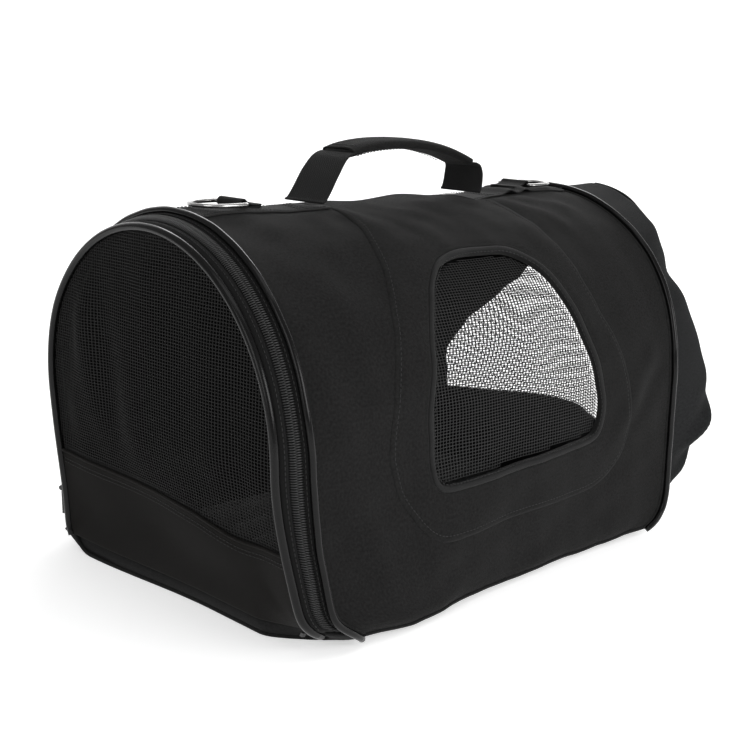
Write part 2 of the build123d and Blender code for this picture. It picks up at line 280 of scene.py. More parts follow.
body_cloth = cloth("body_cloth", 0.0060, 0.0165, warm=0.01)
panel_cloth = cloth("panel_cloth", 0.0060, 0.0165, warm=0.01)
end_cloth = cloth("end_cloth", 0.0065, 0.0170, warm=-0.04)
sleeve_cloth = cloth("sleeve_cloth", 0.0060, 0.0165, warm=0.01)
door_cloth = cloth("door_cloth", 0.0022, 0.0066, warm=0.12)
tray_cloth = cloth("tray_cloth", 0.0055, 0.0150, pitch=0.8)
# The lining is set darker than the outer cloth: painted shade for the inside of the bag.
lining_cloth = cloth("lining_cloth", 0.0030, 0.0070, pitch=0.5)
webbing = ribbed("webbing", 0.005, 0.026, rib=2.6, cross=2.2, relief=0.35)
binding_tape = ribbed("binding_tape", 0.006, 0.019, rib=1.0, cross=1.0, relief=0.12)
zip_tape = ribbed("zip_tape", 0.002, 0.007, rib=1.1, cross=0.9, relief=0.12, rough=0.75)
print("cloth finishes:", [m.name for m in bpy.data.materials])

# %% [markdown]
# ## Net, vinyl, thread, nylon and metal
# The smaller finishes are simpler, but none is one flat colour. Vinyl piping is glossy and
# slightly wrinkled, zip coil is bright nylon, and plated wire has fine polishing scratches.

# %% Other finishes
def plain(name, dark, light, rough, relief, scale, spread=0.15, **constants):
    """A finish with a little mottling in its colour, its gloss and its surface."""
    made = Finish(name, **constants)
    mottle = made.noise(scale, 4.0)
    fine = made.noise(scale * 6, 3.0)
    worn = made.wear() * fine
    made.feed(
        Base_Color=made.mix(mottle * 0.7 + worn * 0.6, dark, light),
        Roughness=rough + (fine - 0.5) * spread - worn * 0.1,
    )
    return made.bump(mottle * 0.6 + fine * 0.4, relief)


net_thread = plain("net_thread", grey(0.006), grey(0.016, 0.03), 0.7, 0.06, 900, Specular_IOR_Level=0.2)
window_thread = plain("window_thread", grey(0.010), grey(0.026), 0.7, 0.06, 900, Specular_IOR_Level=0.3)
vinyl = plain("piping_vinyl", grey(0.002), grey(0.005), 0.22, 0.10, 160, Specular_IOR_Level=0.22)
thread = plain("sewing_thread", grey(0.005), grey(0.013), 0.6, 0.05, 1500)
coil_nylon = plain("zip_coil", grey(0.005), grey(0.012), 0.38, 0.03, 600)
lacquer = plain("black_lacquer", grey(0.012), grey(0.03), 0.32, 0.03, 400, Metallic=0.35, Coat_Weight=0.4)
nickel = plain("plated_wire", grey(0.42), grey(0.58, 0.02), 0.2, 0.02, 300, 0.1, Metallic=1.0)
board_plastic = plain("base_board", grey(0.03), grey(0.05), 0.6, 0.1, 200)
fleece = plain("mat_fleece", grey(0.010), grey(0.024), 0.95, 0.5, 420, Sheen_Weight=0.1)
print(len(bpy.data.materials), "finishes")

# %% [markdown]
# ## Making pieces
# Every piece is built from points and faces worked out with numpy, then turned into an
# object that rides on a body of the frame. The lay and wear attributes are stored with it.

# %% Piece
def piece(name, points, faces, finish, slot, body="carrier", stands_for=(), lay=None, wear=None):
    """Makes one object from points in millimetres, riding on a body."""
    mesh = bpy.data.meshes.new(name)
    mesh.from_pydata((np.asarray(points) * MM).tolist(), [], [tuple(map(int, face)) for face in faces])
    mesh.polygons.foreach_set("use_smooth", [True] * len(mesh.polygons))
    if lay is not None:
        flat = np.zeros((len(points), 3), dtype=np.float32)
        flat[:, :2] = lay
        mesh.attributes.new("lay", "FLOAT_VECTOR", "POINT").data.foreach_set("vector", flat.ravel())
    if wear is not None:
        rubbed = np.asarray(wear, dtype=np.float32)
        mesh.attributes.new("wear", "FLOAT", "POINT").data.foreach_set("value", rubbed)
    mesh.materials.append(finish.material)
    made = bpy.data.objects.new(name, mesh)
    bpy.context.scene.collection.objects.link(made)
    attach(made, body)
    if stands_for:
        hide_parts(*stands_for)
    print(f"{name}: {len(points)} points, {len(faces)} faces")
    return made


def gather(parts):
    """Joins (points, faces, lay, wear) groups into one."""
    start, points, faces, lays, wears = 0, [], [], [], []
    for group_points, group_faces, group_lay, group_wear in parts:
        points.append(group_points)
        faces += [tuple(start + index for index in face) for face in group_faces]
        lays.append(group_lay)
        wears.append(group_wear)
        start += len(group_points)
    return np.concatenate(points), faces, np.concatenate(lays), np.concatenate(wears)


def grid_faces(rows, columns):
    """The quads between points that lie in rows."""
    return [
        (r * columns + c, r * columns + c + 1, (r + 1) * columns + c + 1, (r + 1) * columns + c)
        for r in range(rows - 1)
        for c in range(columns - 1)
    ]


def tube_faces(rows, columns, closed=False, ends=True):
    """The quads round a tube whose points lie in rows, with its two end faces if it is open."""
    faces = []
    for row in range(rows if closed else rows - 1):
        below, above = row * columns, (row + 1) % rows * columns
        for k in range(columns):
            after = (k + 1) % columns
            faces.append((below + k, below + after, above + after, above + k))
    if ends and not closed:
        faces += [tuple(range(columns))[::-1], tuple(range((rows - 1) * columns, rows * columns))]
    return faces


def run_length(line):
    """The distance along a line to each of its points."""
    return np.concatenate([[0], np.cumsum(np.linalg.norm(np.diff(line, axis=0), axis=1))])


def grid_lay(across, along):
    """The flat place of every point of a grid, from its rows and its columns."""
    return np.stack(np.broadcast_arrays(across[:, None], along[None, :]), -1).reshape(-1, 2)


# %% [markdown]
# ## The form of the tunnel
# The tunnel is one curved surface. A point on it is named by x, along the bag, and by a, the
# distance over the cloth from the ridge: minus on the near side, plus on the far side. Round
# top, straight side, rounded corner and flat floor follow each other along a. The lower
# corners flare at the door, the door seam falls back towards the floor, and folds are added.

# %% Tunnel form
SEAM_X = 200.0  # from the middle of the tunnel to each of its seams
RADIUS, SPRING, FLOOR_HALF = 148.0, 130.0, 118.0
QUARTER, LEG, CORNER = RADIUS * math.pi / 2, 110.0, 30.0
HALF_GIRTH = QUARTER + LEG + CORNER + FLOOR_HALF
TRAY_SEAM = QUARTER + LEG + 0.42 * CORNER
ZIP_FOOT = QUARTER + LEG + 4.0


def eased(pairs, reach=24.0, step=2.0):
    """A smooth curve through a short table of (place, value) pairs."""
    places, values = zip(*pairs)
    grid = np.arange(places[0] - 2 * reach, places[-1] + 2 * reach, step)
    weights = np.exp(-0.5 * (np.arange(-reach, reach + step, step) / (reach / 2.2)) ** 2)
    padded = np.pad(np.interp(grid, places, values), len(weights) // 2, mode="edge")
    smooth = np.convolve(padded, weights / weights.sum(), mode="valid")
    return lambda at: np.interp(at, grid, smooth)


foot_flare = eased([(-200, 8), (-150, 12), (-100, 9), (-50, 4), (0, 0), (70, -5), (130, -6), (200, -2)])
foot_round = eased([(-200, 17), (-100, 13), (0, 13), (100, 13), (200, 15)])
door_seam_lean = eased(
    [(0, 14), (18, 10), (40, 6), (76, 0), (123, -2), (163, -4.5), (230, -3.5), (278, -2)], 10
)
rear_seam_lean = eased(
    [(0, -36), (10, -19), (20, -10), (36, -7), (60, -8), (100, -10), (150, -10), (195, -4), (230, 0),
     (278, 0)], 8
)


def step_up(value):
    value = np.clip(value, 0, 1)
    return value * value * (3 - 2 * value)


def corner_back(y, z):
    """How far the lower corners of the door and of its seam turn back under the bag."""
    return 30.0 * np.exp(-((z / 17.0) ** 2)) * step_up((np.abs(y) - 95.0) / 50.0)


def crease(x, a, start, end, width, depth):
    """A soft fold along a line on the cloth: its depth falls off to the sides and the ends."""
    (x0, a0), (x1, a1) = start, end
    run = math.hypot(x1 - x0, a1 - a0)
    along = ((x - x0) * (x1 - x0) + (a - a0) * (a1 - a0)) / run
    aside = ((x - x0) * (a1 - a0) - (a - a0) * (x1 - x0)) / run
    ends = step_up((along + 0.2 * run) / (0.5 * run)) * step_up((1.2 * run - along) / (0.5 * run))
    return depth * ends * np.exp(-((aside / width) ** 2))


FOLDS = [  # start, end, width and depth of the folds in the tunnel's cloth, near side minus
    ((-76, -20), (-60, -95), 9, 1.3), ((-60, -24), (-38, -86), 8, -1.1), ((-96, -26), (-120, -90), 10, 1.0),
    ((92, -22), (128, -84), 8, 1.6), ((84, -24), (96, -92), 9, -1.5), ((100, -20), (160, -62), 7, 1.2),
    ((118, -262), (176, -196), 9, 1.9), ((132, -268), (188, -216), 8, -1.7),
    ((104, -282), (150, -246), 9, 1.3), ((-186, -150), (-140, -330), 16, 1.5),
    ((-168, -120), (-150, -280), 12, -1.2), ((-150, -350), (-60, -338), 9, 1.2),
    ((20, -345), (150, -335), 10, 1.1), ((-30, -24), (10, -60), 10, 0.9), ((92, 22), (130, 90), 9, 1.4),
    ((-80, 22), (-62, 95), 9, 1.2), ((110, 250), (170, 190), 10, 1.6), ((-180, 160), (-150, 330), 14, 1.4),
    ((-20, 345), (120, 332), 10, 1.2), ((30, 60), (60, 20), 10, 0.9),
]


def swell(x, a):
    """How far the slack cloth stands out of the plain form."""
    out = sum(crease(x, a, *fold) for fold in FOLDS)
    rng = np.random.default_rng(7)
    for wave in (150.0, 96.0, 60.0, 38.0, 25.0):
        for _ in range(3):
            turn, phase = rng.uniform(0, math.pi), rng.uniform(0, 2 * math.pi)
            out = out + 0.0042 * wave * np.sin(
                (x * math.cos(turn) + a * math.sin(turn)) * 2 * math.pi / wave + phase
            )
    held = step_up((200 - np.abs(x)) / 26) * step_up((HALF_GIRTH - FLOOR_HALF - np.abs(a)) / 30)
    hang = 2.6 * np.sin(np.clip((x + 200) / 400, 0, 1) * math.pi) * np.exp(-((a / 60.0) ** 2))
    return (out + 0.6) * held - hang


def base_form(x, a):
    """The tunnel's surface without its thickness."""
    x, a = np.broadcast_arrays(np.asarray(x, float), np.asarray(a, float))
    far, side = np.abs(a), np.where(a < 0, -1.0, 1.0)
    foot, corner = foot_flare(x), foot_round(x)
    turn = np.clip(far / QUARTER, 0, 1) * math.pi / 2
    y, z = RADIUS * np.sin(turn), SPRING + RADIUS * np.cos(turn)
    drop = np.clip((far - QUARTER) / LEG, 0, 1)
    z = z - drop * (SPRING - corner)
    y = y + foot * step_up(drop)
    bend = np.clip((far - QUARTER - LEG) / CORNER, 0, 1) * math.pi / 2
    y, z = y - corner * (1 - np.cos(bend)), z - corner * np.sin(bend)
    y = y * (1 - np.clip((far - QUARTER - LEG - CORNER) / FLOOR_HALF, 0, 1))
    lean = door_seam_lean(z) + np.where(a < 0, 0.0, 3.0 * np.exp(-(((z - 130) / 45) ** 2)))
    at_door = step_up((-x - 40) / 160) * (lean + corner_back(y, z))
    at_rear = step_up((x - 60) / 140) * rear_seam_lean(z)
    return np.stack([x + at_door + at_rear, side * y, z], -1)


def skin(x, a, out=0.0, slack=1.0):
    """Points on the tunnel at a height over its surface, and the outward normals there."""
    x, a = np.broadcast_arrays(np.asarray(x, float), np.asarray(a, float))
    along = base_form(x + 1, a) - base_form(x - 1, a)
    round_it = base_form(x, a + 1) - base_form(x, a - 1)
    normal = np.cross(along, round_it)
    normal /= np.linalg.norm(normal, axis=-1, keepdims=True)
    lift = np.asarray(out, float) + slack * swell(x, a)
    return base_form(x, a) + normal * np.broadcast_to(lift, x.shape)[..., None], normal


def down_from_ridge(x, z):
    """The distance over the cloth from the ridge to a height."""
    x, z = np.asarray(x, float), np.asarray(z, float)
    top = RADIUS * np.arccos(np.clip((z - SPRING) / RADIUS, -1, 1))
    leg = QUARTER + (SPRING - z) * LEG / (SPRING - foot_round(x))
    return np.where(z >= SPRING, top, leg)


print("girth of the tunnel:", round(2 * HALF_GIRTH), "mm")

# %% [markdown]
# ## Cutting panels
# A sewn panel is cut from flat cloth, so it starts as a flat outline, with holes for windows.
# Constrained triangulation fills it with points. Extra rings of points near every edge let
# the edge turn under softly and let a row of stitching sink in.

# %% Panels
def smooth_loop(points, step=3.0, closed=True):
    """A rounded line through a few points, as evenly spaced points."""
    points = np.asarray(points, float)
    count = len(points)
    line = []
    for k in range(count if closed else count - 1):
        if closed:
            p0, p1, p2, p3 = (points[(k + i) % count] for i in (-1, 0, 1, 2))
        else:
            p0, p1, p2, p3 = (points[min(max(k + i, 0), count - 1)] for i in (-1, 0, 1, 2))
        t = np.linspace(0, 1, 12, endpoint=False)[:, None]
        square, cube = 2 * p0 - 5 * p1 + 4 * p2 - p3, 3 * p1 - p0 - 3 * p2 + p3
        line.append(0.5 * (2 * p1 + (p2 - p0) * t + square * t**2 + cube * t**3))
    line = np.concatenate(line + ([] if closed else [points[-1:]]))
    return even(line, step, closed)


def even(line, step, closed=False):
    """The same line with evenly spaced points."""
    line = np.asarray(line, float)
    ends = np.concatenate([line, line[:1]]) if closed else line
    lengths = run_length(ends)
    count = max(int(round(lengths[-1] / step)), 3)
    marks = np.linspace(0, lengths[-1], count + 1)[: count if closed else None]
    return np.stack([np.interp(marks, lengths, ends[:, axis]) for axis in range(ends.shape[1])], -1)


def inside(points, loop):
    """Which points lie inside a closed line."""
    x, y = points[:, 0, None], points[:, 1, None]
    ax, ay = loop[:, 0], loop[:, 1]
    bx, by = np.roll(ax, -1), np.roll(ay, -1)
    crosses = ((ay > y) != (by > y)) & (x < (bx - ax) * (y - ay) / np.where(by == ay, 1e-9, by - ay) + ax)
    return crosses.sum(1) % 2 == 1


def from_line(points, lines):
    """The distance of each point from the nearest of some lines."""
    marks = np.concatenate([even(line, 1.5, True) for line in lines])
    near = np.full(len(points), 1e9)
    for start in range(0, len(marks), 400):
        gap = points[:, None, :] - marks[None, start : start + 400, :]
        near = np.minimum(near, np.sqrt((gap**2).sum(-1)).min(1))
    return near


def cut_panel(loop, holes=(), step=5.0, rings=(1.2, 2.4, 3.6, 4.8, 7.0)):
    """Fills an outline with triangles. Gives the flat points, the faces and the edge distance."""
    lines = [np.asarray(line, float) for line in (loop, *holes)]
    ring_points = []
    for line in lines:
        along = np.roll(line, -1, 0) - np.roll(line, 1, 0)
        aside = np.stack([-along[:, 1], along[:, 0]], -1) / np.linalg.norm(along, axis=1)[:, None]
        for gap in rings:
            ring_points += [line + aside * gap, line - aside * gap]
    low, high = lines[0].min(0), lines[0].max(0)
    across, upward = np.arange(low[0], high[0], step), np.arange(low[1], high[1], step * 0.87)
    mesh_x, mesh_y = np.meshgrid(across, upward)
    mesh_x[1::2] += step / 2
    grid = np.stack([mesh_x.ravel(), mesh_y.ravel()], -1)
    far = from_line(grid, lines) > (max(rings) if rings else 0) + step * 0.45
    free = np.concatenate(ring_points + [grid[far]]) if rings else grid[far]
    free = free[inside(free, lines[0]) & (from_line(free, lines) > 0.9 * min(rings or (step / 3,)))]
    for hole in lines[1:]:
        free = free[~inside(free, hole)]
    points = np.concatenate(lines + [free])
    edges, start = [], 0
    for line in lines:
        edges += [(start + k, start + (k + 1) % len(line)) for k in range(len(line))]
        start += len(line)
    made = geometry.delaunay_2d_cdt([Vector(p) for p in points.tolist()], edges, [], 0, 1e-4)
    flat = np.array([tuple(p) for p in made[0]])
    faces = np.array([tuple(face) for face in made[2] if len(face) == 3])
    middle = flat[faces].mean(1)
    keep = inside(middle, lines[0])
    for hole in lines[1:]:
        keep &= ~inside(middle, hole)
    faces = faces[keep]
    turn = flat[faces]
    area = np.cross(turn[:, 1] - turn[:, 0], turn[:, 2] - turn[:, 0])
    faces[area < 0] = faces[area < 0][:, ::-1]
    used, faces = np.unique(faces, return_inverse=True)
    return flat[used], faces.reshape(-1, 3), from_line(flat[used], lines)


def two_sided(top, bottom, faces):
    """Closes a sheet: its top, its underside and the walls round its edges."""
    count = len(top)
    faces = [tuple(face) for face in faces]
    open_edges = {}
    for face in faces:
        for start, end in zip(face, face[1:] + face[:1]):
            if (end, start) in open_edges:
                del open_edges[(end, start)]
            else:
                open_edges[(start, end)] = True
    under = [tuple(count + index for index in face[::-1]) for face in faces]
    walls = [(end, start, count + start, count + end) for start, end in open_edges]
    return np.concatenate([top, bottom]), faces + under + walls


def sewn_edge(edge, full, turn=1.6, row=4.2, sink=0.35):
    """The height of a turned and topstitched edge: it rolls under, and the stitching sinks."""
    return full * (1 - np.exp(-edge / turn)) - sink * np.exp(-(((edge - row) / 0.9) ** 2))


# %% [markdown]
# ## Sweeping trim
# Piping, tapes, beads and straps are a small section carried along a line on the surface. At
# each point the section stands on the surface normal, so flat trim lies flat.

# %% Sweeps and stitches
def sweep(line, normals, section, closed=False):
    """Carries a closed section, given as (aside, up) pairs, along a line."""
    line, section = np.asarray(line, float), np.asarray(section, float)
    along = np.gradient(line, axis=0) if not closed else np.roll(line, -1, 0) - np.roll(line, 1, 0)
    along /= np.linalg.norm(along, axis=1)[:, None]
    normals = normals - along * (normals * along).sum(1)[:, None]
    normals /= np.linalg.norm(normals, axis=1)[:, None]
    aside = np.cross(along, normals)
    points = line[:, None] + aside[:, None] * section[None, :, :1] + normals[:, None] * section[None, :, 1:]
    lay = grid_lay(run_length(line), run_length(section))
    return points.reshape(-1, 3), tube_faces(len(line), len(section), closed), lay, np.zeros(len(lay))


def round_section(radius, sides=14, flat=1.0):
    turns = np.arange(sides) * 2 * math.pi / sides
    return np.stack([radius * np.cos(turns), radius * flat * np.sin(turns)], -1)


THREAD_SIDES = 6
# Places along a stitch: the share of its length, its thickness and how far it dips.
STITCH = [(0, 0.45, 2.2), (0.22, 1, 0.4), (0.5, 1.05, 0), (0.78, 1, 0.4), (1, 0.45, 2.2)]


def stitches(line, normals, pitch=3.6, length=2.7, radius=0.30, sink=0.12):
    """A row of sewing stitches on a line: each one is a short thread that dips at its ends."""
    line = np.asarray(line, float)
    both = even(np.concatenate([line, normals], 1), pitch / 4)
    spots, outward = both[:, :3], both[:, 3:]
    groups = []
    turns = np.arange(THREAD_SIDES) * 2 * math.pi / THREAD_SIDES
    faces = tube_faces(len(STITCH), THREAD_SIDES)
    for k in range(0, len(spots) - 4, 4):
        along = spots[k + 3] - spots[k]
        along /= np.linalg.norm(along) + 1e-9
        up_way = outward[k] / np.linalg.norm(outward[k])
        aside = np.cross(along, up_way)
        points = []
        for share, thick, drop in STITCH:
            centre = spots[k] + along * length * share + up_way * (radius - sink - drop * radius * 0.6)
            points.append(
                centre
                + aside * (np.cos(turns) * radius * thick)[:, None]
                + up_way * (np.sin(turns) * radius * thick)[:, None]
            )
        points = np.concatenate(points)
        groups.append((points, faces, np.zeros((len(points), 2)), np.zeros(len(points))))
    return gather(groups)


NET_CELL = [(-1, -1), (0, -1), (1, -1), (1, 0), (1, 1), (0, 1), (-1, 1), (-1, 0)]
NET_HOLE = [(-0.62, -1), (0.62, -1), (1, -0.62), (1, 0.62), (0.62, 1), (-0.62, 1), (-1, 0.62), (-1, -0.62)]


def net(keep, place, low, high, pitch=2.25, thread=0.6, wide=1.35):
    """A knitted net: cells wider than high with rounded holes, each thread a little raised."""
    low, high = np.array(low) / (wide, 1), np.array(high) / (wide, 1)
    columns = int((high[0] - low[0]) / pitch) + 1
    rows = int((high[1] - low[1]) / pitch) + 1
    hole = pitch - thread
    ring = [(hole / 2 * sx, hole / 2 * sy) for sx, sy in NET_HOLE]
    across, upward = (np.arange(columns) + 0.5) * pitch, (np.arange(rows) + 0.5) * pitch
    middles = np.stack(np.meshgrid(low[0] + across, low[1] + upward), -1).reshape(-1, 2)
    middles = middles[keep(middles * (wide, 1))]
    index, flat, lift, faces = {}, [], [], []

    def corner(u, v):
        key = (round(2 * u / pitch), round(2 * v / pitch))
        if key not in index:
            index[key] = len(flat)
            flat.append((u, v))
            lift.append(0.28)
        return index[key]

    half = pitch / 2
    for u, v in middles.tolist():
        outer = [corner(u + half * way_u, v + half * way_v) for way_u, way_v in NET_CELL]
        first = len(flat)
        flat += [(u + du, v + dv) for du, dv in ring]
        lift += [0.0] * 8
        faces += [(outer[k], outer[(k + 1) % 8], first + (k + 1) % 8, first + k) for k in range(8)]
    flat, lift = np.array(flat) * (wide, 1), np.array(lift)
    return place(flat, lift), faces, flat, np.zeros(len(flat))


# %% [markdown]
# ## The tunnel
# The wall is outer cloth, foam and lining sewn as one, so it has real thickness: the outer
# face carries the woven finish, and the inner face is the lining seen through the nets. It
# is cut flat with a hole for the window and bent round the form.

# %% Window and panel outlines
WINDOW = [
    (-93, 109), (-94, 132), (-92, 158), (-81, 197), (-70, 219), (-56, 234), (-39, 243), (-14, 247.5),
    (12, 248), (38, 245.5), (55, 239), (67, 226), (76, 208), (83, 185), (89, 166), (96, 146), (101, 125), (100, 109),
    (91, 98), (60, 94.5), (0, 92), (-50, 90), (-80, 91), (-90, 97),
]
SADDLE = [
    (-80, 269), (-87, 258), (-93, 245), (-100, 231), (-108, 215), (-114, 200), (-119, 183), (-127, 156),
    (-132, 130), (-130, 112), (-124, 94), (-111, 75), (-96, 60), (-78, 54), (-40, 54), (20, 55), (80, 55),
    (102, 58), (120, 65), (136, 82), (140, 102), (136, 125), (130, 149), (120, 172), (108, 201), (102, 226),
    (97, 247), (93, 266),
]


def on_cloth(outline, side, step=3.0):
    """An outline given as (x, z) pairs, as (x, a) points on one side of the tunnel."""
    line = smooth_loop([(x, float(down_from_ridge(x, z))) for x, z in outline], step)
    return line * (1, side)


window_line = on_cloth(WINDOW, -1)
half_saddle = smooth_loop(
    [(-74, 0)] + [(x, float(down_from_ridge(x, z))) for x, z in SADDLE] + [(90, 0)], 3.0, closed=False
)
saddle_line = np.concatenate([half_saddle[:-1], (half_saddle * (1, -1))[::-1][:-1]])
tunnel_line = [(-SEAM_X, -TRAY_SEAM), (SEAM_X, -TRAY_SEAM), (SEAM_X, TRAY_SEAM), (-SEAM_X, TRAY_SEAM)]
tunnel_line = even(tunnel_line, 4.0, True)
print(len(window_line), "points round the window,", len(saddle_line), "round the panel")

# %% Tunnel
flat, faces, edge = cut_panel(tunnel_line, [window_line], 4.5, rings=(1.5, 4.0))
outer = skin(flat[:, 0], flat[:, 1], np.where(edge < 3, -0.35 * (1 - edge / 3), 0))[0]
inner = skin(flat[:, 0], flat[:, 1], -4.0)[0]
points, faces = two_sided(outer, inner, faces)
lay = np.concatenate([flat, flat])
wear = np.concatenate([0.8 * np.exp(-edge / 3), np.zeros(len(edge))])
tunnel_wall = piece(
    "tunnel_wall", points, faces, body_cloth, "body_cloth", "carrier", ("body_shell",), lay, wear
)
tunnel_wall.data.materials.append(lining_cloth.material)
count = len(outer)
for polygon in tunnel_wall.data.polygons:
    polygon.material_index = int(min(polygon.vertices) >= count)

# %% [markdown]
# ## The window panel
# A second layer of cloth lies over the back like a saddle and frames the window. Its edge is
# turned under and topstitched, which shows as a soft step with a dent beside it.

# %% Window panel
flat, faces, edge = cut_panel(saddle_line, [window_line], 4.0)
rise = sewn_edge(edge, 1.5)
outer, inner = skin(flat[:, 0], flat[:, 1], rise)[0], skin(flat[:, 0], flat[:, 1], -0.6)[0]
points, faces = two_sided(outer, inner, faces)
wear = np.exp(-edge / 1.6)
saddle = piece(
    "window_panel", points, faces, panel_cloth, "panel_cloth", "carrier", ("saddle_panel",),
    np.concatenate([flat, flat]), np.concatenate([wear, wear]),
)


def inset_loop(line, gap):
    """A closed flat line moved inwards by a distance."""
    along = np.roll(line, -1, 0) - np.roll(line, 1, 0)
    aside = np.stack([-along[:, 1], along[:, 0]], -1) / np.linalg.norm(along, axis=1)[:, None]
    moved = line + aside * gap
    if abs(moved).max() > abs(line).max() + 0.3 * abs(gap):
        moved = line - aside * gap
    return moved


groups = []
for line, gap, rise in ((saddle_line, 4.2, 1.05), (window_line, -4.6, 1.1)):
    row = inset_loop(line, gap)
    groups.append(stitches(*skin(row[:, 0], row[:, 1], rise)))
piece("panel_stitching", *gather(groups)[:2], thread, "panel_cloth", "carrier")

# %% [markdown]
# ## The window
# The window is a net held behind a turned edge. The net is real thread and real holes, made
# cell by cell, because light has to pass through it. It sits behind the opening.

# %% Window
bead = [(-2.3, -3.9), (-2.5, 0.7), (-1.9, 1.7), (-0.6, 2.15), (0.9, 2.0), (2.0, 1.2), (2.3, 0.0), (2.1, -3.9)]
edge_line = inset_loop(window_line, 1.6)
edge_points, edge_normals = skin(edge_line[:, 0], edge_line[:, 1])
points, faces, lay, wear = sweep(edge_points, edge_normals, bead, closed=True)
piece(
    "window_edge_near", points, faces, binding_tape, "binding", "carrier",
    ("window_binding_near",), lay, wear + 0.4,
)
hidden = inset_loop(window_line, -6.0)
low, high = hidden.min(0), hidden.max(0)
points, faces, lay, wear = net(
    lambda spots: inside(spots, hidden),
    lambda flat, lift: skin(flat[:, 0], flat[:, 1], lift - 4.3, slack=0.8)[0],
    low, high,
)
window_net = piece(
    "window_net_near", points, faces, window_thread, "mesh", "carrier", ("window_mesh_near",), lay, wear
)
size = tuple(float(value) for value in (high - low) * MM)

# %% [markdown]
# ## Piping
# Vinyl piping is a cord wrapped in glossy film and caught in the seam, so it stands half out
# of the cloth. It is swept round each seam and ends in the lower corners.

# %% Piping at the body seams
PIPE_END = QUARTER + LEG + 0.45 * CORNER
reach = even([(-PIPE_END,), (PIPE_END,)], 3.0)[:, 0]
for seam, x in (("front", -SEAM_X), ("rear", SEAM_X)):
    seam_points, seam_normals = skin(x, reach, 2.3)
    wander = 0.12 * np.sin(reach / 9.0) + 0.08 * np.sin(reach / 4.1)
    seam_points = seam_points + seam_normals * wander[:, None]
    seam_points[:, 2] = np.maximum(seam_points[:, 2], 3.0)
    points, faces, lay, wear = sweep(seam_points, seam_normals, round_section(2.6, 16))
    piece(
        f"{seam}_seam_piping", points, faces, vinyl, "piping", "carrier",
        (f"{seam}_piping", f"{seam}_hoop_wire"), lay, wear + 0.2,
    )
    lip_points, lip_normals = skin(x * 0.988, reach, 0.25)
    fold = [(-2.2, -0.5), (-2.2, 0.15), (0, 0.5), (2.4, 0.2), (2.4, -0.5)]
    points, faces, lay, wear = sweep(lip_points, lip_normals, fold)
    piece(f"{seam}_seam_fold", points, faces, body_cloth, "body_cloth", "carrier", (), lay, wear + 0.6)

# %% [markdown]
# ## The door frame and the zip
# The door's own piping follows a leaning arch ahead of the body seam. Between the two runs
# the zip: a tape on the body, a double row of nylon coil, and a tape on the door. Each half
# of the zip rides on its own side, so the two part when the door swings.

# %% Door form
def ring_form(a):
    """The line of the door's piping: x falls back towards the floor."""
    far, side = np.abs(a), np.where(np.asarray(a) < 0, -1.0, 1.0)
    radius, spring, corner, bottom = 140.4, 130.0, 25.0, 0.6
    turn = np.clip(far / QUARTER, 0, 1) * math.pi / 2
    y, z = radius * np.sin(turn), spring + radius * np.cos(turn)
    drop = np.clip((far - QUARTER) / LEG, 0, 1)
    z = z - drop * (spring - bottom - corner)
    y = y + np.where(side < 0, 10.0, -9.0) * step_up(drop)
    bend = np.clip((far - QUARTER - LEG) / CORNER, 0, 1) * math.pi / 2
    y, z = y - corner * (1 - np.cos(bend)), z - corner * np.sin(bend)
    y = y * (1 - np.clip((far - QUARTER - LEG - CORNER) / FLOOR_HALF, 0, 1))
    return np.stack([door_x(side * y, z), side * y, z], -1)


FAR_EDGE = eased([(0, -212.1), (46, -214.1), (122, -217.4), (150, -219.5), (200, -223), (278, -224)], 14)


def door_x(y, z):
    """How far forward the door stands: its foot falls back, later but more on the near side."""
    y, z = np.asarray(y, float), np.asarray(z, float)
    near_edge = -224.0 + 22.0 * np.clip(1 - z / 140.0, 0, 1) ** 2
    share = step_up((y + 40.0) / 150.0)
    return near_edge * (1 - share) + FAR_EDGE(z) * share + corner_back(y, z) * (1 - share)


BAND_WIDE = 22.0  # across the zip, from the body seam to the door's piping


def band(share, a, out=0.0):
    """Points on the zip band: share 0 is at the body seam, 1 at the door's piping."""
    share, a = np.broadcast_arrays(np.asarray(share, float), np.asarray(a, float))
    here = skin(-SEAM_X, a, 0.3)[0] * (1 - share[..., None]) + ring_form(a) * share[..., None]
    ahead = ring_form(a + 1) - ring_form(a - 1)
    across = skin(-SEAM_X, a, 0)[0] - ring_form(a)
    normal = np.cross(across, ahead)
    normal /= np.linalg.norm(normal, axis=-1, keepdims=True) + 1e-9
    middle = 0.9 * np.sin(share * math.pi)
    return here + normal * (np.asarray(out, float) + middle)[..., None], normal


def strip(shares, start, end, outs, under=-1.3, step=3.0):
    """A strip of the band between two places along it, with its own relief and underside."""
    marks = even([(start,), (end,)], step)[:, 0]
    shares, outs = np.asarray(shares, float), np.asarray(outs, float)
    top = band(shares[None, :], marks[:, None], outs[None, :])[0]
    low = band(shares[None, :], marks[:, None], np.full(len(shares), under)[None, :])[0]
    points, faces = two_sided(top.reshape(-1, 3), low.reshape(-1, 3), grid_faces(len(marks), len(shares)))
    lay = grid_lay(marks, shares * BAND_WIDE)
    return points, faces, np.concatenate([lay, lay]), np.zeros(2 * len(lay))


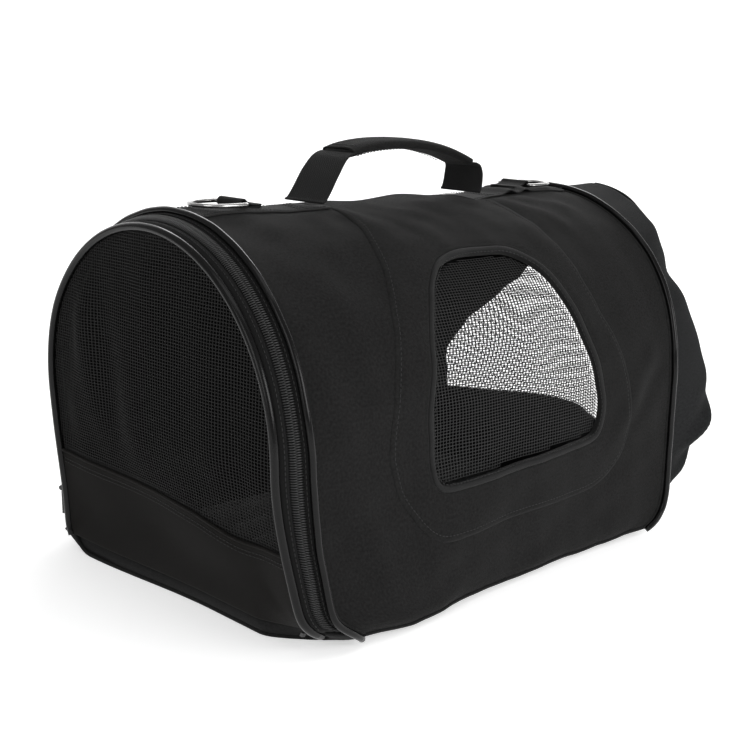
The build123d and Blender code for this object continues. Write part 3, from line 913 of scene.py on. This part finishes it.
# %% Zip tapes and coil
COIL_LOW, COIL_HIGH, COIL_MID = 0.24, 0.64, 0.44
body_shares = [0, 0.05, 0.10, 0.16, 0.20, 0.24, 0.32, 0.42]
body_tape = strip(body_shares, -ZIP_FOOT, ZIP_FOOT, [0.4, 0.6, 0.7, 0.6, 0.1, -0.4, -0.5, -0.5])
piece("body_zip_tape", *body_tape[:2], zip_tape, "zip_tape", "carrier", ("zip_tape_body",), *body_tape[2:])
door_shares = [0.46, 0.56, 0.64, 0.69, 0.74, 0.82, 0.90, 1.0]
door_tape = strip(door_shares, -ZIP_FOOT, ZIP_FOOT, [-0.5, -0.5, -0.4, 0.2, 0.9, 1.1, 0.9, 0.2])
piece("door_zip_tape", *door_tape[:2], zip_tape, "zip_tape", "door", ("zip_tape_door",), *door_tape[2:])


def coil(low, high, start, end, pitch=1.75, shift=0.0):
    """One half of a nylon coil: a rounded turn across the tape every pitch millimetres."""
    marks = np.arange(start, end, pitch) + shift * pitch
    shares = np.linspace(low, high, 6)
    rounds = np.sin(np.linspace(0.12, 1, 6) * math.pi * 0.62 + 0.25)
    turns = np.arange(THREAD_SIDES) * 2 * math.pi / THREAD_SIDES
    groups = []
    middle = np.full((1, 6), COIL_MID)
    ahead = band(middle, marks[:, None] + 1.0)[0] - band(middle, marks[:, None] - 1.0)[0]
    ahead /= np.linalg.norm(ahead, axis=-1, keepdims=True)
    centres, normals = band(shares[None, :], marks[:, None], (-0.6 + 1.25 * rounds)[None, :])
    on_far_leg = centres[..., 1:2] > 60
    centres = centres - normals * (0.9 * on_far_leg)  # lower there, to leave room for the slider
    thick = np.array([0.45, 0.62, 0.68, 0.68, 0.66, 0.40])
    faces = tube_faces(len(thick), THREAD_SIDES)
    for k in range(len(marks)):
        points = (
            centres[k][:, None]
            + ahead[k][:, None] * (np.cos(turns)[None, :, None] * thick[:, None, None])
            + normals[k][:, None] * (np.sin(turns)[None, :, None] * thick[:, None, None])
        ).reshape(-1, 3)
        groups.append((points, faces, np.zeros((len(points), 2)), np.zeros(len(points))))
    return gather(groups)


parts = coil(COIL_LOW, COIL_MID + 0.03, -ZIP_FOOT + 4, ZIP_FOOT - 4)
piece("body_zip_coil", *parts[:2], coil_nylon, "zip_coil", "carrier", ("zip_coil_body",), *parts[2:])
parts = coil(COIL_HIGH, COIL_MID - 0.03, -ZIP_FOOT + 4, ZIP_FOOT - 4, shift=0.5)
piece("door_zip_coil", *parts[:2], coil_nylon, "zip_coil", "door", ("zip_coil_door",), *parts[2:])

marks = even([(-ZIP_FOOT + 2,), (ZIP_FOOT - 2,)], 3.0)[:, 0]
rows = [stitches(*band(np.full(len(marks), share), marks, 0.65)) for share in (0.17, 0.06)]
piece("body_zip_stitching", *gather(rows)[:2], thread, "zip_tape", "carrier")
row = stitches(*band(np.full(len(marks), 0.78), marks, 1.0))
piece("door_zip_stitching", *row[:2], thread, "zip_tape", "door")

# %% [markdown]
# ## The door
# The door is a net with a plain cloth panel across its foot. The net hangs in soft upright
# folds, deepest under the crown. A flat hem hides the seam between net and cloth.

# %% Door net and panel
ring_line = ring_form(even([(-ZIP_FOOT - 8,), (ZIP_FOOT + 8,)], 3.0)[:, 0])
door_outline = even(ring_line[:, 1:], 3.0, True)
SEAM_HEIGHT = eased(
    [(-150, 73), (-124, 72), (-95, 70), (-75, 73), (-50, 77), (0, 79), (60, 80), (150, 82)], 14
)
DOOR_LOW = 14.6


def door_form(y, z, lift=0.0):
    """Points on the door: flat at its edge, with folds and a slight belly inside."""
    y, z = np.asarray(y, float), np.asarray(z, float)
    flat = np.stack([y, z], -1).reshape(-1, 2)
    gap = from_line(flat, [door_outline]).reshape(y.shape)
    free = step_up(gap / 42)
    hung = step_up((z - 70) / 60)
    wide_fold = 4.4 * np.sin((y + 0.10 * (z - 120)) / 12.5 + 0.4) * hung
    fold = wide_fold + 1.9 * np.sin((y - 0.2 * z) / 7.6 + 1.9) * hung
    fold = fold * (0.55 + 0.45 * np.sin(y / 48 - 0.9))
    low_fold = 1.5 * np.sin((y * 0.6 + z) / 17) + 1.0 * np.sin((y * 0.9 - z * 1.2) / 23 + 1.0)
    belly = -3.0 * np.sin(np.clip((z - DOOR_LOW) / 250, 0, 1) * math.pi) + 4.0 * (1 - hung)
    x = door_x(y, z) - free * (fold * 0.8 + low_fold * (1 - hung) - belly) - np.asarray(lift, float)
    return np.stack([x, y, z], -1)


def keep_net(spots):
    return inside(spots, door_outline) & (spots[:, 1] > SEAM_HEIGHT(spots[:, 0]) - 3.0)


points, faces, lay, wear = net(
    keep_net, lambda flat, lift: door_form(flat[:, 0], flat[:, 1], lift), (-150, 56), (150, 275)
)
door_net = piece("door_net", points, faces, net_thread, "mesh", "door", ("door_mesh",), lay, wear)

half_low = door_outline[(door_outline[:, 1] > DOOR_LOW) & (door_outline[:, 1] < 82)]
left, rightmost = half_low[half_low[:, 0] < 0], half_low[half_low[:, 0] > 0]
left = left[left[:, 1] < SEAM_HEIGHT(left[:, 0])]
left, rightmost = left[np.argsort(-left[:, 1])], rightmost[np.argsort(rightmost[:, 1])]
rightmost = rightmost[rightmost[:, 1] < SEAM_HEIGHT(rightmost[:, 0])]
top_y = np.arange(rightmost[-1, 0] - 2, left[0, 0] + 2, -3.0)
top_edge = np.stack([top_y, SEAM_HEIGHT(top_y)], -1)
bottom_y = np.arange(left[-1, 0] + 3, rightmost[0, 0] - 2, 3.0)
bottom_edge = np.stack([bottom_y, np.full(len(bottom_y), DOOR_LOW)], -1)
panel_line = even(np.concatenate([left, bottom_edge, rightmost, top_edge]), 3.0, True)
flat, faces, edge = cut_panel(panel_line, (), 4.0)
near_top = np.abs(flat[:, 1] - SEAM_HEIGHT(flat[:, 0]))
rise = 0.9 + sewn_edge(near_top, 0.9, row=5.0)
outer = door_form(flat[:, 0], flat[:, 1], rise)
inner = door_form(flat[:, 0], flat[:, 1], -0.6)
points, faces = two_sided(inner, outer, faces)
wear = np.tile(np.exp(-np.minimum(near_top, edge + 2) / 2.0), 2)
door_panel = piece(
    "door_panel", points, faces, door_cloth, "door_cloth", "door", ("door_lower_panel",),
    np.concatenate([flat, flat]), wear,
)

hem_y = np.arange(left[0, 0] + 1, rightmost[-1, 0] - 1, 3.0)
hem = door_form(hem_y, SEAM_HEIGHT(hem_y) + 0.5, 1.3)
outwards = np.tile([-1.0, 0.0, 0.0], (len(hem), 1))
parts = sweep(hem, outwards, round_section(1.3, 10, 0.8))
piece("door_hem", *parts[:2], door_cloth, "door_cloth", "door", (), parts[2], parts[3] + 0.8)
back_hem = door_form(hem_y, SEAM_HEIGHT(hem_y), -1.2)
parts = sweep(back_hem, outwards, [(-4, -0.5), (-4, 0.5), (4, 0.5), (4, -0.5)])
piece("door_seam_binding", *parts[:2], binding_tape, "binding", "door", ("door_seam_tape",), *parts[2:])
rows = [stitches(door_form(hem_y, SEAM_HEIGHT(hem_y) - drop, 1.75), outwards) for drop in (5.0, 8.0)]
piece("door_hem_stitching", *gather(rows)[:2], thread, "door_cloth", "door")

# %% Door piping
marks = even([(-ZIP_FOOT - 6,), (ZIP_FOOT + 6,)], 3.0)[:, 0]
ring_points = ring_form(marks) + np.array([-1.6, 0, 0])
_, ring_normals = band(np.full(len(marks), 0.9), marks)
parts = sweep(ring_points, ring_normals, round_section(3.1, 16))
piece(
    "door_ring_piping", *parts[:2], vinyl, "piping", "door", ("door_piping", "door_hoop_wire"),
    parts[2], parts[3] + 0.2,
)

# %% [markdown]
# ## The base
# The tunnel is sewn to a flat tray of stiffer cloth. A folded hem runs round its top edge,
# just over the floor, and carries on under the door as a low lip.

# %% Base tray and lip
def girth_part(start, end, step=5.0):
    """Distances over the cloth from one height, under the floor, to the same height."""
    side = even([(start,), (end,)], step)[:, 0]
    return np.concatenate([side, -side[::-1][1:]])


across_floor = girth_part(TRAY_SEAM - 0.5, HALF_GIRTH, 4.0)
along_floor = even([(-SEAM_X,), (SEAM_X,)], 5.0)[:, 0]
grid_x, grid_a = np.meshgrid(along_floor, across_floor)
outer = skin(grid_x, grid_a, 0.0)[0].reshape(-1, 3)
inner = skin(grid_x, grid_a, -3.6)[0].reshape(-1, 3)
outer[:, 2] = np.maximum(outer[:, 2], 0.15)
points, faces = two_sided(inner, outer, grid_faces(*grid_x.shape))
lay = np.stack([grid_x.ravel(), grid_a.ravel()], -1)
piece(
    "base_tray", points, faces, tray_cloth, "base_cloth", "carrier", ("base_panel",),
    np.concatenate([lay, lay]), np.tile(0.5 * np.exp(-(((np.abs(grid_a).ravel() - TRAY_SEAM) / 9) ** 2)), 2),
)
groups = []
for way in (-1, 1):
    hem_x = even([(-199,), (199,)], 3.5)[:, 0]
    hem_points, hem_normals = skin(hem_x, np.full(len(hem_x), way * TRAY_SEAM), 0.5)
    groups.append(sweep(hem_points, hem_normals, round_section(1.7, 10, 0.62)))
parts = gather(groups)
piece("tray_hem", *parts[:2], tray_cloth, "base_cloth", "carrier", (), parts[2], parts[3] + 0.5)

lip_marks = girth_part(ZIP_FOOT + 2, HALF_GIRTH, 4.0)
shares = np.array([0, 0.12, 0.3, 0.5, 0.7, 0.88, 1.0])
top = band(shares[None, :], lip_marks[:, None], 0.4)[0]
low = band(shares[None, :], lip_marks[:, None], -2.4)[0]
for layer in (top, low):
    layer[..., 2] = np.maximum(layer[..., 2], 0.2 if layer is top else 2.2)
points, faces = two_sided(top.reshape(-1, 3), low.reshape(-1, 3), grid_faces(len(lip_marks), len(shares)))
lay = grid_lay(lip_marks, shares * BAND_WIDE)
groups = [(points, faces, np.concatenate([lay, lay]), np.zeros(2 * len(lay)))]
front = ring_form(lip_marks)
front_half = np.abs(front[:, 1]).max()
rise = np.linspace(0, 1, 6)
wall_y = np.linspace(-front_half + 3, front_half - 3, 90)
floor_z = np.interp(np.abs(wall_y), [0, 118, 128, front_half], [0.3, 0.3, 2.0, 12.0])
z = floor_z[:, None] * (1 - rise) + 13.6 * rise
x = np.maximum(door_x(wall_y[:, None], z) + 2.0, -208.6) - 1.6 * np.sin(rise * math.pi)[None, :]
lip = np.stack([x, np.broadcast_to(wall_y[:, None], z.shape), z], -1).reshape(-1, 3)
points, faces = two_sided(lip, lip + (2.4, 0, 0), [face[::-1] for face in grid_faces(90, 6)])
lay = np.stack([lip[:, 1], lip[:, 2]], -1)
groups.append((points, faces, np.concatenate([lay, lay]), np.full(2 * len(lay), 0.2)))
parts = gather(groups)
piece("door_lip", *parts[:2], tray_cloth, "base_cloth", "carrier", ("door_sill",), parts[2], parts[3])

# %% [markdown]
# ## The soft end
# The far end is a loose gusset that carries on from the tunnel and a slack panel that closes
# it. It reaches out along the ridge, falls in at the shoulder, bellies out lower down and is
# drawn in near the floor, where short deep creases fan out from the seam. It sags more on
# the far side. The panel is net above a low band of cloth, like the door.

# %% Soft end
REACH_NEAR = eased(
    [(0, 61), (40, 59), (70, 52), (92, 45), (118, 36), (140, 31), (158, 35), (180, 44), (202, 53), (232, 62),
     (262, 70), (280, 69), (296, 58), (310, 34), (322, 12), (336, 7), (372, 7), (491, 9)], 10
)
REACH_FAR = eased(
    [(0, 61), (40, 57), (70, 44), (118, 30), (158, 28), (262, 30), (296, 28), (330, 12), (491, 9)], 14
)
INSET_NEAR = eased(
    [(0, -6), (40, -4), (75, 3), (110, 9), (158, 15), (200, 12), (262, 7), (300, 9), (330, 10), (491, 8)], 14
)
INSET_FAR = eased(
    [(0, -6), (12, 2), (30, 22), (60, 46), (116, 61), (170, 55), (200, 44), (230, 25), (256, 3), (300, 5),
     (491, 8)], 14
)
END_FOLDS = [  # start and end as (share of reach, a), width, depth in millimetres
    ((0.02, 300), (0.95, 262), 0.13, 6.0), ((0.02, 304), (0.95, 292), 0.12, -6.0),
    ((0.02, 300), (0.90, 236), 0.14, -4.6), ((0.05, 296), (1.10, 214), 0.15, 3.4),
    ((0.02, 308), (0.80, 312), 0.12, 3.0), ((0.00, 150), (0.95, 128), 0.15, -3.2),
    ((0.05, 158), (1.00, 164), 0.17, 2.4), ((0.05, 110), (1.00, 84), 0.15, 2.2),
    ((0.0, 60), (1.0, 36), 0.17, -2.0),
]
END_MIDDLE = 134.0
END_SEAM = 79.0
PANEL_REACH = 36.0


def end_fold(t, a):
    """The creases of the soft end, the same on both sides but a little shifted."""
    out = np.zeros(np.broadcast(t, a).shape)
    for (t0, a0), (t1, a1), width, depth in END_FOLDS:
        for side, shift in ((-1, 0.0), (1, 9.0)):
            start, end = (t0 * 60, side * (a0 - shift)), (t1 * 60, side * (a1 - shift))
            out = out + crease(t * 60, a, start, end, width * 70, depth)
    return out


def gusset(t, a, out=0.0):
    """Points on the gusset: t is 0 at the body seam and 1 at the rim of the end panel."""
    t, a = np.broadcast_arrays(np.asarray(t, float), np.asarray(a, float))
    far = np.abs(a)
    seam = skin(199.4, a, 0.0)[0]
    to_middle = np.array([0.0, 0.0, END_MIDDLE]) - seam * (0, 1, 1)
    inwards = to_middle / np.linalg.norm(to_middle, axis=-1, keepdims=True)
    reach = np.where(a < 0, REACH_NEAR(far), REACH_FAR(far))
    inset = np.where(a < 0, INSET_NEAR(far), INSET_FAR(far))
    across = inset * (0.35 * t + 0.65 * t**3) + 4.5 * step_up((t - 0.62) / 0.38)
    across = across - end_fold(t, a) * np.sin(t / 1.4 * math.pi) - np.asarray(out, float)
    place = seam * (0, 1, 1) + inwards * across[..., None]
    place[..., 2] = np.maximum(place[..., 2], 1.0)
    place[..., 0] = seam[..., 0] + reach * np.sin(t * math.pi / 2) ** 0.9
    return place


rim_marks = np.linspace(-HALF_GIRTH, HALF_GIRTH, 281)
rim = gusset(np.ones(len(rim_marks)), rim_marks)
rim_turn = np.arctan2(rim[:, 1], rim[:, 2] - END_MIDDLE)
rim_radius = np.hypot(rim[:, 1], rim[:, 2] - END_MIDDLE)


def end_panel(y, z, lift=0.0):
    """Points on the end panel, from its rim to its middle, with the slack of its cloth."""
    y, z = np.asarray(y, float), np.asarray(z, float)
    turn = np.arctan2(y, z - END_MIDDLE)
    share = 1 - np.hypot(y, z - END_MIDDLE) / np.interp(turn, rim_turn, rim_radius)
    held = step_up(np.clip(share, 0, 1) * 1.3)
    x = np.interp(turn, rim_turn, rim[:, 0]) * (1 - held) + (SEAM_X + PANEL_REACH) * held
    slack = 1.9 * np.sin(y / 17.0 + z / 40.0) + 1.4 * np.sin(y / 9.5 - z / 31.0 + 1.0)
    slack = slack + 1.2 * np.sin(z / 15.0)
    x = x + slack * np.sqrt(np.clip(share, 0, 1)) + np.asarray(lift, float)
    return np.stack([x, y, z], -1)


def closed_rows(rows, columns):
    faces = grid_faces(rows, columns)
    last = (rows - 1) * columns
    return faces + [(last + c, last + c + 1, c + 1, c) for c in range(columns - 1)]


t_marks, a_marks = np.linspace(0, 1, 22), rim_marks[:-1]
grid_t, grid_a = np.meshgrid(t_marks, a_marks)
outer = gusset(grid_t, grid_a, 0.0).reshape(-1, 3)
inner = gusset(grid_t, grid_a, -1.6).reshape(-1, 3)
points, faces = two_sided(outer, inner, [face[::-1] for face in closed_rows(*grid_t.shape)])
lay = np.stack([grid_t.ravel() * 62 + 200, grid_a.ravel()], -1)
soft_end = piece(
    "soft_end_cloth", points, faces, end_cloth, "end_cloth", "carrier", ("soft_end",),
    np.concatenate([lay, lay]), np.tile(0.5 * np.exp(-(((grid_t.ravel() - 1) / 0.05) ** 2)), 2),
)
rim_out = np.column_stack([np.full(len(rim), 0.0), rim[:, 1], rim[:, 2] - END_MIDDLE])
rim_out /= np.linalg.norm(rim_out, axis=1)[:, None]
parts = sweep(rim[:-1], rim_out[:-1], round_section(1.3, 8, 0.8), closed=True)
piece("soft_end_rim", *parts[:2], end_cloth, "end_cloth", "carrier", (), parts[2], parts[3] + 0.5)

rim_loop = even(rim[:-1, 1:], 3.0, True)
flat, faces, edge = cut_panel(rim_loop, (), 5.0, rings=(2.0, 4.5))
low_faces = faces[flat[faces][:, :, 1].max(1) < END_SEAM + 2.5]
used, low_faces = np.unique(low_faces, return_inverse=True)
flat, edge, low_faces = flat[used], edge[used], low_faces.reshape(-1, 3)
points, faces = two_sided(end_panel(*flat.T, 0.8), end_panel(*flat.T, -0.6), low_faces)
low_panel = piece(
    "end_low_panel", points, faces, end_cloth, "end_cloth", "carrier", (),
    np.concatenate([flat, flat]), np.zeros(2 * len(flat)),
)
points, faces, lay, wear = net(
    lambda spots: inside(spots, rim_loop) & (spots[:, 1] > END_SEAM - 3.0),
    lambda flat, lift: end_panel(flat[:, 0], flat[:, 1], lift),
    (-150, END_SEAM - 4.0), (150, 276), pitch=1.95, thread=0.5,
)
end_net = piece("end_panel_net", points, faces, net_thread, "mesh", "carrier", ("end_net",), lay, wear)
by_seam = rim_loop[np.abs(rim_loop[:, 1] - END_SEAM) < 8]
hem_y = np.arange(by_seam[:, 0].min() + 4, rim_loop[:, 0].max() - 6, 3.0)
hem = end_panel(hem_y, np.full(len(hem_y), END_SEAM), 1.0)
tape = [(-3.5, -2.4), (-3.5, 0.7), (3.5, 0.7), (3.5, -2.4)]
parts = sweep(hem, np.tile([1.0, 0.0, 0.0], (len(hem), 1)), tape)
piece("end_panel_hem", *parts[:2], end_cloth, "end_cloth", "carrier", (), parts[2], parts[3] + 0.4)

# %% [markdown]
# ## The mat and the board
# Inside lies a brushed mat with a crowned top and a rolled edge, quilted in long rows, over
# a stiff board. It is a padded piece, so its top swells between the quilting.

# %% Floor mat
MAT = (183.0, 110.0, 30.0)  # half its length, half its width and the radius of its corners
MAT_SEAM, MAT_TOP = 14.0, 20.7


def mat_outline(inset):
    half_x, half_y, corner = MAT[0] - inset, MAT[1] - inset, max(MAT[2] - inset, 6)
    line = []
    for cx, cy, start in ((1, 1, 0), (-1, 1, 90), (-1, -1, 180), (1, -1, 270)):
        for turn in np.radians(np.arange(start, start + 91, 9)):
            x, y = cx * (half_x - corner), cy * (half_y - corner)
            line.append((x + corner * math.cos(turn), y + corner * math.sin(turn)))
    return even(line, 4.0, True)


flat, faces, edge = cut_panel(mat_outline(0.4), (), 4.5, rings=(1.0, 2.2, 4.0, 6.5))
quilt = np.abs(np.sin(flat[:, 1] / 36.5 * math.pi + math.pi / 2)) ** 0.45
puff = np.sqrt(np.clip(1 - (1 - np.clip(edge / 7.0, 0, 1)) ** 2, 0, 1))
top = MAT_SEAM + puff * (2.6 + 4.0 * quilt * step_up(edge / 18) + 0.4 * np.sin(flat[:, 0] / 19))
top, bottom = np.minimum(top, MAT_TOP), MAT_SEAM - puff * 6.3
points, faces = two_sided(np.column_stack([flat, top]), np.column_stack([flat, bottom]), faces)
mat = piece(
    "quilted_mat", points, faces, fleece, "mat_cloth", "carrier", ("floor_mat",),
    np.tile(flat, (2, 1)), np.zeros(len(points)),
)

# %% [markdown]
# ## Webbing
# Webbing is a thick ribbon with cords along it. Its section is drawn with shallow ribs, then
# carried along its path. Straps on the ridge follow the curve of the tunnel under them.

# %% Ridge straps
STRAP_WIDTH = 45.0


def ribs(width, thick, pitch=2.6, depth=0.16, per_rib=4):
    """The section of a ribbed webbing, as (aside, up) pairs round its outline."""
    count = int(width / pitch) * per_rib
    aside = np.linspace(-width / 2, width / 2, count + 1)
    wave = depth * np.abs(np.sin(aside / pitch * math.pi))
    round_off = np.clip((width / 2 - np.abs(aside)) / 0.7, 0, 1) ** 0.5
    upper = (thick / 2 - depth) * (0.35 + 0.65 * round_off) + wave * round_off
    return np.concatenate([np.column_stack([aside, upper]), np.column_stack([aside[::-1], -upper[::-1]])])


def ridge_strap(x_marks, lift, width=STRAP_WIDTH, thick=1.5):
    """A strap on the ridge: it bends over the tunnel, and may stand up in humps."""
    section = ribs(width, thick)
    lifts = np.asarray(lift, float)[:, None] + section[None, :, 1] + thick / 2
    edge_drop = 0.25 * (np.abs(section[:, 0]) / (width / 2)) ** 6
    points = skin(x_marks[:, None], section[None, :, 0], lifts - edge_drop)[0]
    wear = np.tile(0.5 * (np.abs(section[:, 0]) > width / 2 - 1.5), len(x_marks))
    faces = tube_faces(len(x_marks), len(section))
    return points.reshape(-1, 3), faces, grid_lay(x_marks, section[:, 0]), wear


front_marks = np.arange(-193.0, -77.0, 1.5)
parts = ridge_strap(front_marks, np.full(len(front_marks), 0.5))
piece("ridge_webbing_front", *parts[:2], webbing, "webbing", "carrier", ("ridge_strap_front",), *parts[2:])
rear_marks = np.arange(78.0, 193.5, 1.5)
humps = 3.4 * np.exp(-(((rear_marks - 121) / 6.5) ** 2)) + 2.6 * np.exp(-(((rear_marks - 140) / 5.5) ** 2))
parts = ridge_strap(rear_marks, 0.5 + humps)
piece("ridge_webbing_rear", *parts[:2], webbing, "webbing", "carrier", ("ridge_strap_rear",), *parts[2:])


def on_ridge(points, lift):
    """Points given as (x, y) pairs on the ridge, with their normals."""
    points = np.asarray(points, float)
    return skin(points[:, 0], points[:, 1], lift)


rows = []
for near, far in ((-193, -80), (80, 193)):
    for y in (-20.0, 20.0):
        lift = 2.4 if near > 0 else 2.0
        rows.append(stitches(*on_ridge(even([(near, y), (far, y)], 3.0), lift), 3.2))
for x in (-98, -104, 98, 104):
    rows.append(stitches(*on_ridge(even([(x, -19.5), (x, 19.5)], 3.0), 2.05), 3.2))
piece("strap_stitching", *gather(rows)[:2], thread, "webbing", "carrier")

# %% D-ring loops
BAR_X, BAR_Z = 152.0, 283.5


def tab_path(way):
    """The line of a webbing tab: flat on the strap, round the ring's bar and back on itself."""
    hold = 3.15
    path = [(BAR_X - 16, 281.0), (BAR_X - 10, 280.7), (BAR_X - 4, 280.5)]
    for turn in np.radians(np.arange(-80, 171, 18)):
        path.append((BAR_X + hold * math.cos(turn), BAR_Z + hold * math.sin(turn)))
    path += [(BAR_X - 7, 282.9), (BAR_X - 11, 282.4), (BAR_X - 16, 282.3)]
    line = smooth_loop([(x, z) for x, z in path], 0.9, closed=False)
    return np.column_stack([way * line[:, 0], np.zeros(len(line)), line[:, 1]])


for way, end in ((-1, "front"), (1, "rear")):
    line = tab_path(way)
    along = np.gradient(line, axis=0)
    outwards = np.cross(along, (0, 1, 0))
    parts = sweep(line, outwards, ribs(27.5, 1.3, 2.3, 0.12))
    piece(f"ring_tab_{end}", *parts[:2], webbing, "webbing", "carrier", (f"d_ring_loop_{end}",), *parts[2:])
    rows = []
    for shift in (5.5, 8.5, 13.5):
        x = way * (BAR_X - shift)
        y_line = even([(x, -12.5), (x, 12.5)], 3.0)
        top = np.column_stack([y_line, np.full(len(y_line), 283.25 - 0.035 * (shift - 5.5) * 3)])
        rows.append(stitches(top, np.tile([0.0, 0.0, 1.0], (len(top), 1)), 3.0, sink=0.0))
    piece(f"ring_tab_stitching_{end}", *gather(rows)[:2], thread, "webbing", "carrier")
RING = [(0, 0), (0, 14), (0.6, 17.6), (2.6, 19), (14, 19), (23.5, 16.5), (30.5, 9.5), (33, 0)]
for way, end in ((-1, "front"), (1, "rear")):
    outline = RING + [(out, -aside) for out, aside in RING[-2:0:-1]]
    line = smooth_loop([(way * (BAR_X + out), way * aside) for out, aside in outline], 1.2)
    line = np.column_stack([line, np.full(len(line), BAR_Z)])
    parts = sweep(line, np.tile([0.0, 0.0, 1.0], (len(line), 1)), round_section(1.55, 12), closed=True)
    piece(f"ring_{end}", *parts[:2], nickel, "nickel", f"ring_{end}", (f"d_ring_{end}",), *parts[2:])
for part in ("zip_slider", "zip_pull", "zip_stops"):
    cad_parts[part].material_slots[0].material = lacquer.material
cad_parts["base_board"].material_slots[0].material = board_plastic.material

# %% [markdown]
# ## The handle
# The handle is the same webbing, folded up from the ridge, with a cloth sleeve wrapped round
# its middle. The sleeve is a flattened tube: it is open at its front end, where the wrap
# shows as a fold, and sewn along its underside.

# %% Handle legs
FOOT_Z = 280.7


def leg_line(points):
    line = smooth_loop(points, 1.2, closed=False)
    return np.column_stack([line[:, 0], np.zeros(len(line)), line[:, 1]])


def leg(name, points, body, node, widths):
    """A webbing leg of the handle, from the ridge to the sleeve."""
    line = leg_line(points)
    along = np.gradient(line, axis=0)
    outwards = np.cross(along, (0, 1, 0))
    section = ribs(STRAP_WIDTH, 1.6)
    made, faces, lay, wear = sweep(line, outwards, section)
    share = np.repeat(np.linspace(0, 1, len(line)), len(section))
    made[:, 1] *= np.interp(share, [0, 0.55, 1], widths)
    piece(name, made, faces, webbing, "webbing", body, (node,), lay, wear + 0.6 * (np.abs(lay[:, 1]) > 200))


leg(
    "handle_webbing_front",
    [(-85.5, FOOT_Z + 0.3), (-82.6, 282.6), (-77.5, 289.5), (-70, 301), (-62, 311), (-56.5, 314.8),
     (-52.4, 316.0)],
    "leg_front", "handle_leg_front", (1.0, 0.97, 0.86),
)
leg(
    "handle_webbing_rear",
    [(83.6, FOOT_Z + 0.2), (85.6, 284.6), (86.8, 291), (87.2, 298), (85.8, 302.4), (81.8, 304.6)],
    "leg_rear", "handle_leg_rear", (1.0, 0.96, 0.86),
)

# %% Grip sleeve
GRIP = [
    (-51.5, 316.4), (-35, 319.8), (-14, 321.6), (10, 321.6), (32, 319.4), (52, 315.2), (68, 310.2), (79.0, 306.0),
]
GRIP_LENGTH = 135
grip_line = leg_line(GRIP)
grip_along = np.gradient(grip_line, axis=0)
grip_up = np.cross(grip_along, (0, 1, 0))
grip_up *= np.sign(grip_up[:, 2:3])
share = np.linspace(0, 1, len(grip_line))


SLEEVE_SIDES = 40
sleeve_turns = np.arange(SLEEVE_SIDES) * 2 * math.pi / SLEEVE_SIDES


def sleeve_section(share, shrink=0.0):
    """The flattened section of the sleeve: fuller in the middle, pinched at its ends."""
    half = np.interp(share, [0, 0.06, 0.2, 0.7, 1], [19.4, 19.8, 19.6, 18.6, 17.8]) - shrink
    thick = np.interp(share, [0, 0.05, 0.25, 0.75, 1], [3.6, 3.9, 4.3, 3.9, 3.3]) - shrink
    c, s = np.cos(sleeve_turns), np.sin(sleeve_turns)
    aside = half * np.sign(c) * np.abs(c) ** 0.55
    upward = thick * np.sign(s) * np.abs(s) ** 0.8
    overlap = 0.55 * np.exp(-(((sleeve_turns - 4.9) / 0.25) ** 2))
    return np.column_stack([aside, upward - overlap - 0.25 * np.sin(aside / 4.5 + share * 9) * (s > 0.2)])


along = grip_along / np.linalg.norm(grip_along, axis=1)[:, None]
up_way = grip_up - along * (grip_up * along).sum(1)[:, None]
up_way /= np.linalg.norm(up_way, axis=1)[:, None]
aside_way = np.array([0.0, 1.0, 0.0])
layers = []
for shrink in (0.0, 1.1):
    rows = []
    for k, part in enumerate(share):
        section = sleeve_section(part, shrink)
        slant = 2.2 * np.sin(sleeve_turns + 0.7) * (1 - step_up(part / 0.12))
        ring = grip_line[k] + aside_way * section[:, :1] + up_way[k] * section[:, 1:]
        rows.append(ring + along[k] * slant[:, None] * 0.6)
    layers.append(np.concatenate(rows))
points, faces = two_sided(layers[0], layers[1], tube_faces(len(share), SLEEVE_SIDES, ends=False))
lay = grid_lay(share * GRIP_LENGTH, run_length(sleeve_section(0.5)))
wear = np.repeat(np.exp(-share / 0.015) + np.exp(-(1 - share) / 0.015), SLEEVE_SIDES)
piece(
    "grip_wrap", points, faces, sleeve_cloth, "sleeve", "grip", ("handle_grip_sleeve",),
    np.concatenate([lay, lay]), np.tile(wear, 2),
)
parts = sweep(grip_line[1:-3], up_way[1:-3], ribs(34.0, 3.0))
piece("grip_webbing", *parts[:2], webbing, "webbing", "grip", ("handle_grip_core",), *parts[2:])
rows = []
for y in (-14.5, 14.5):
    seam_line = grip_line - up_way * 3.7 + aside_way * y
    rows.append(stitches(seam_line[4:-4], -up_way[4:-4], 3.4))
end_row = grip_line[5] + up_way[5] * 4.0 + aside_way * np.linspace(-15, 15, 12)[:, None]
rows.append(stitches(end_row, np.tile(up_way[5], (12, 1)), 3.2, sink=0.1))
piece("grip_stitching", *gather(rows)[:2], thread, "sleeve", "grip")
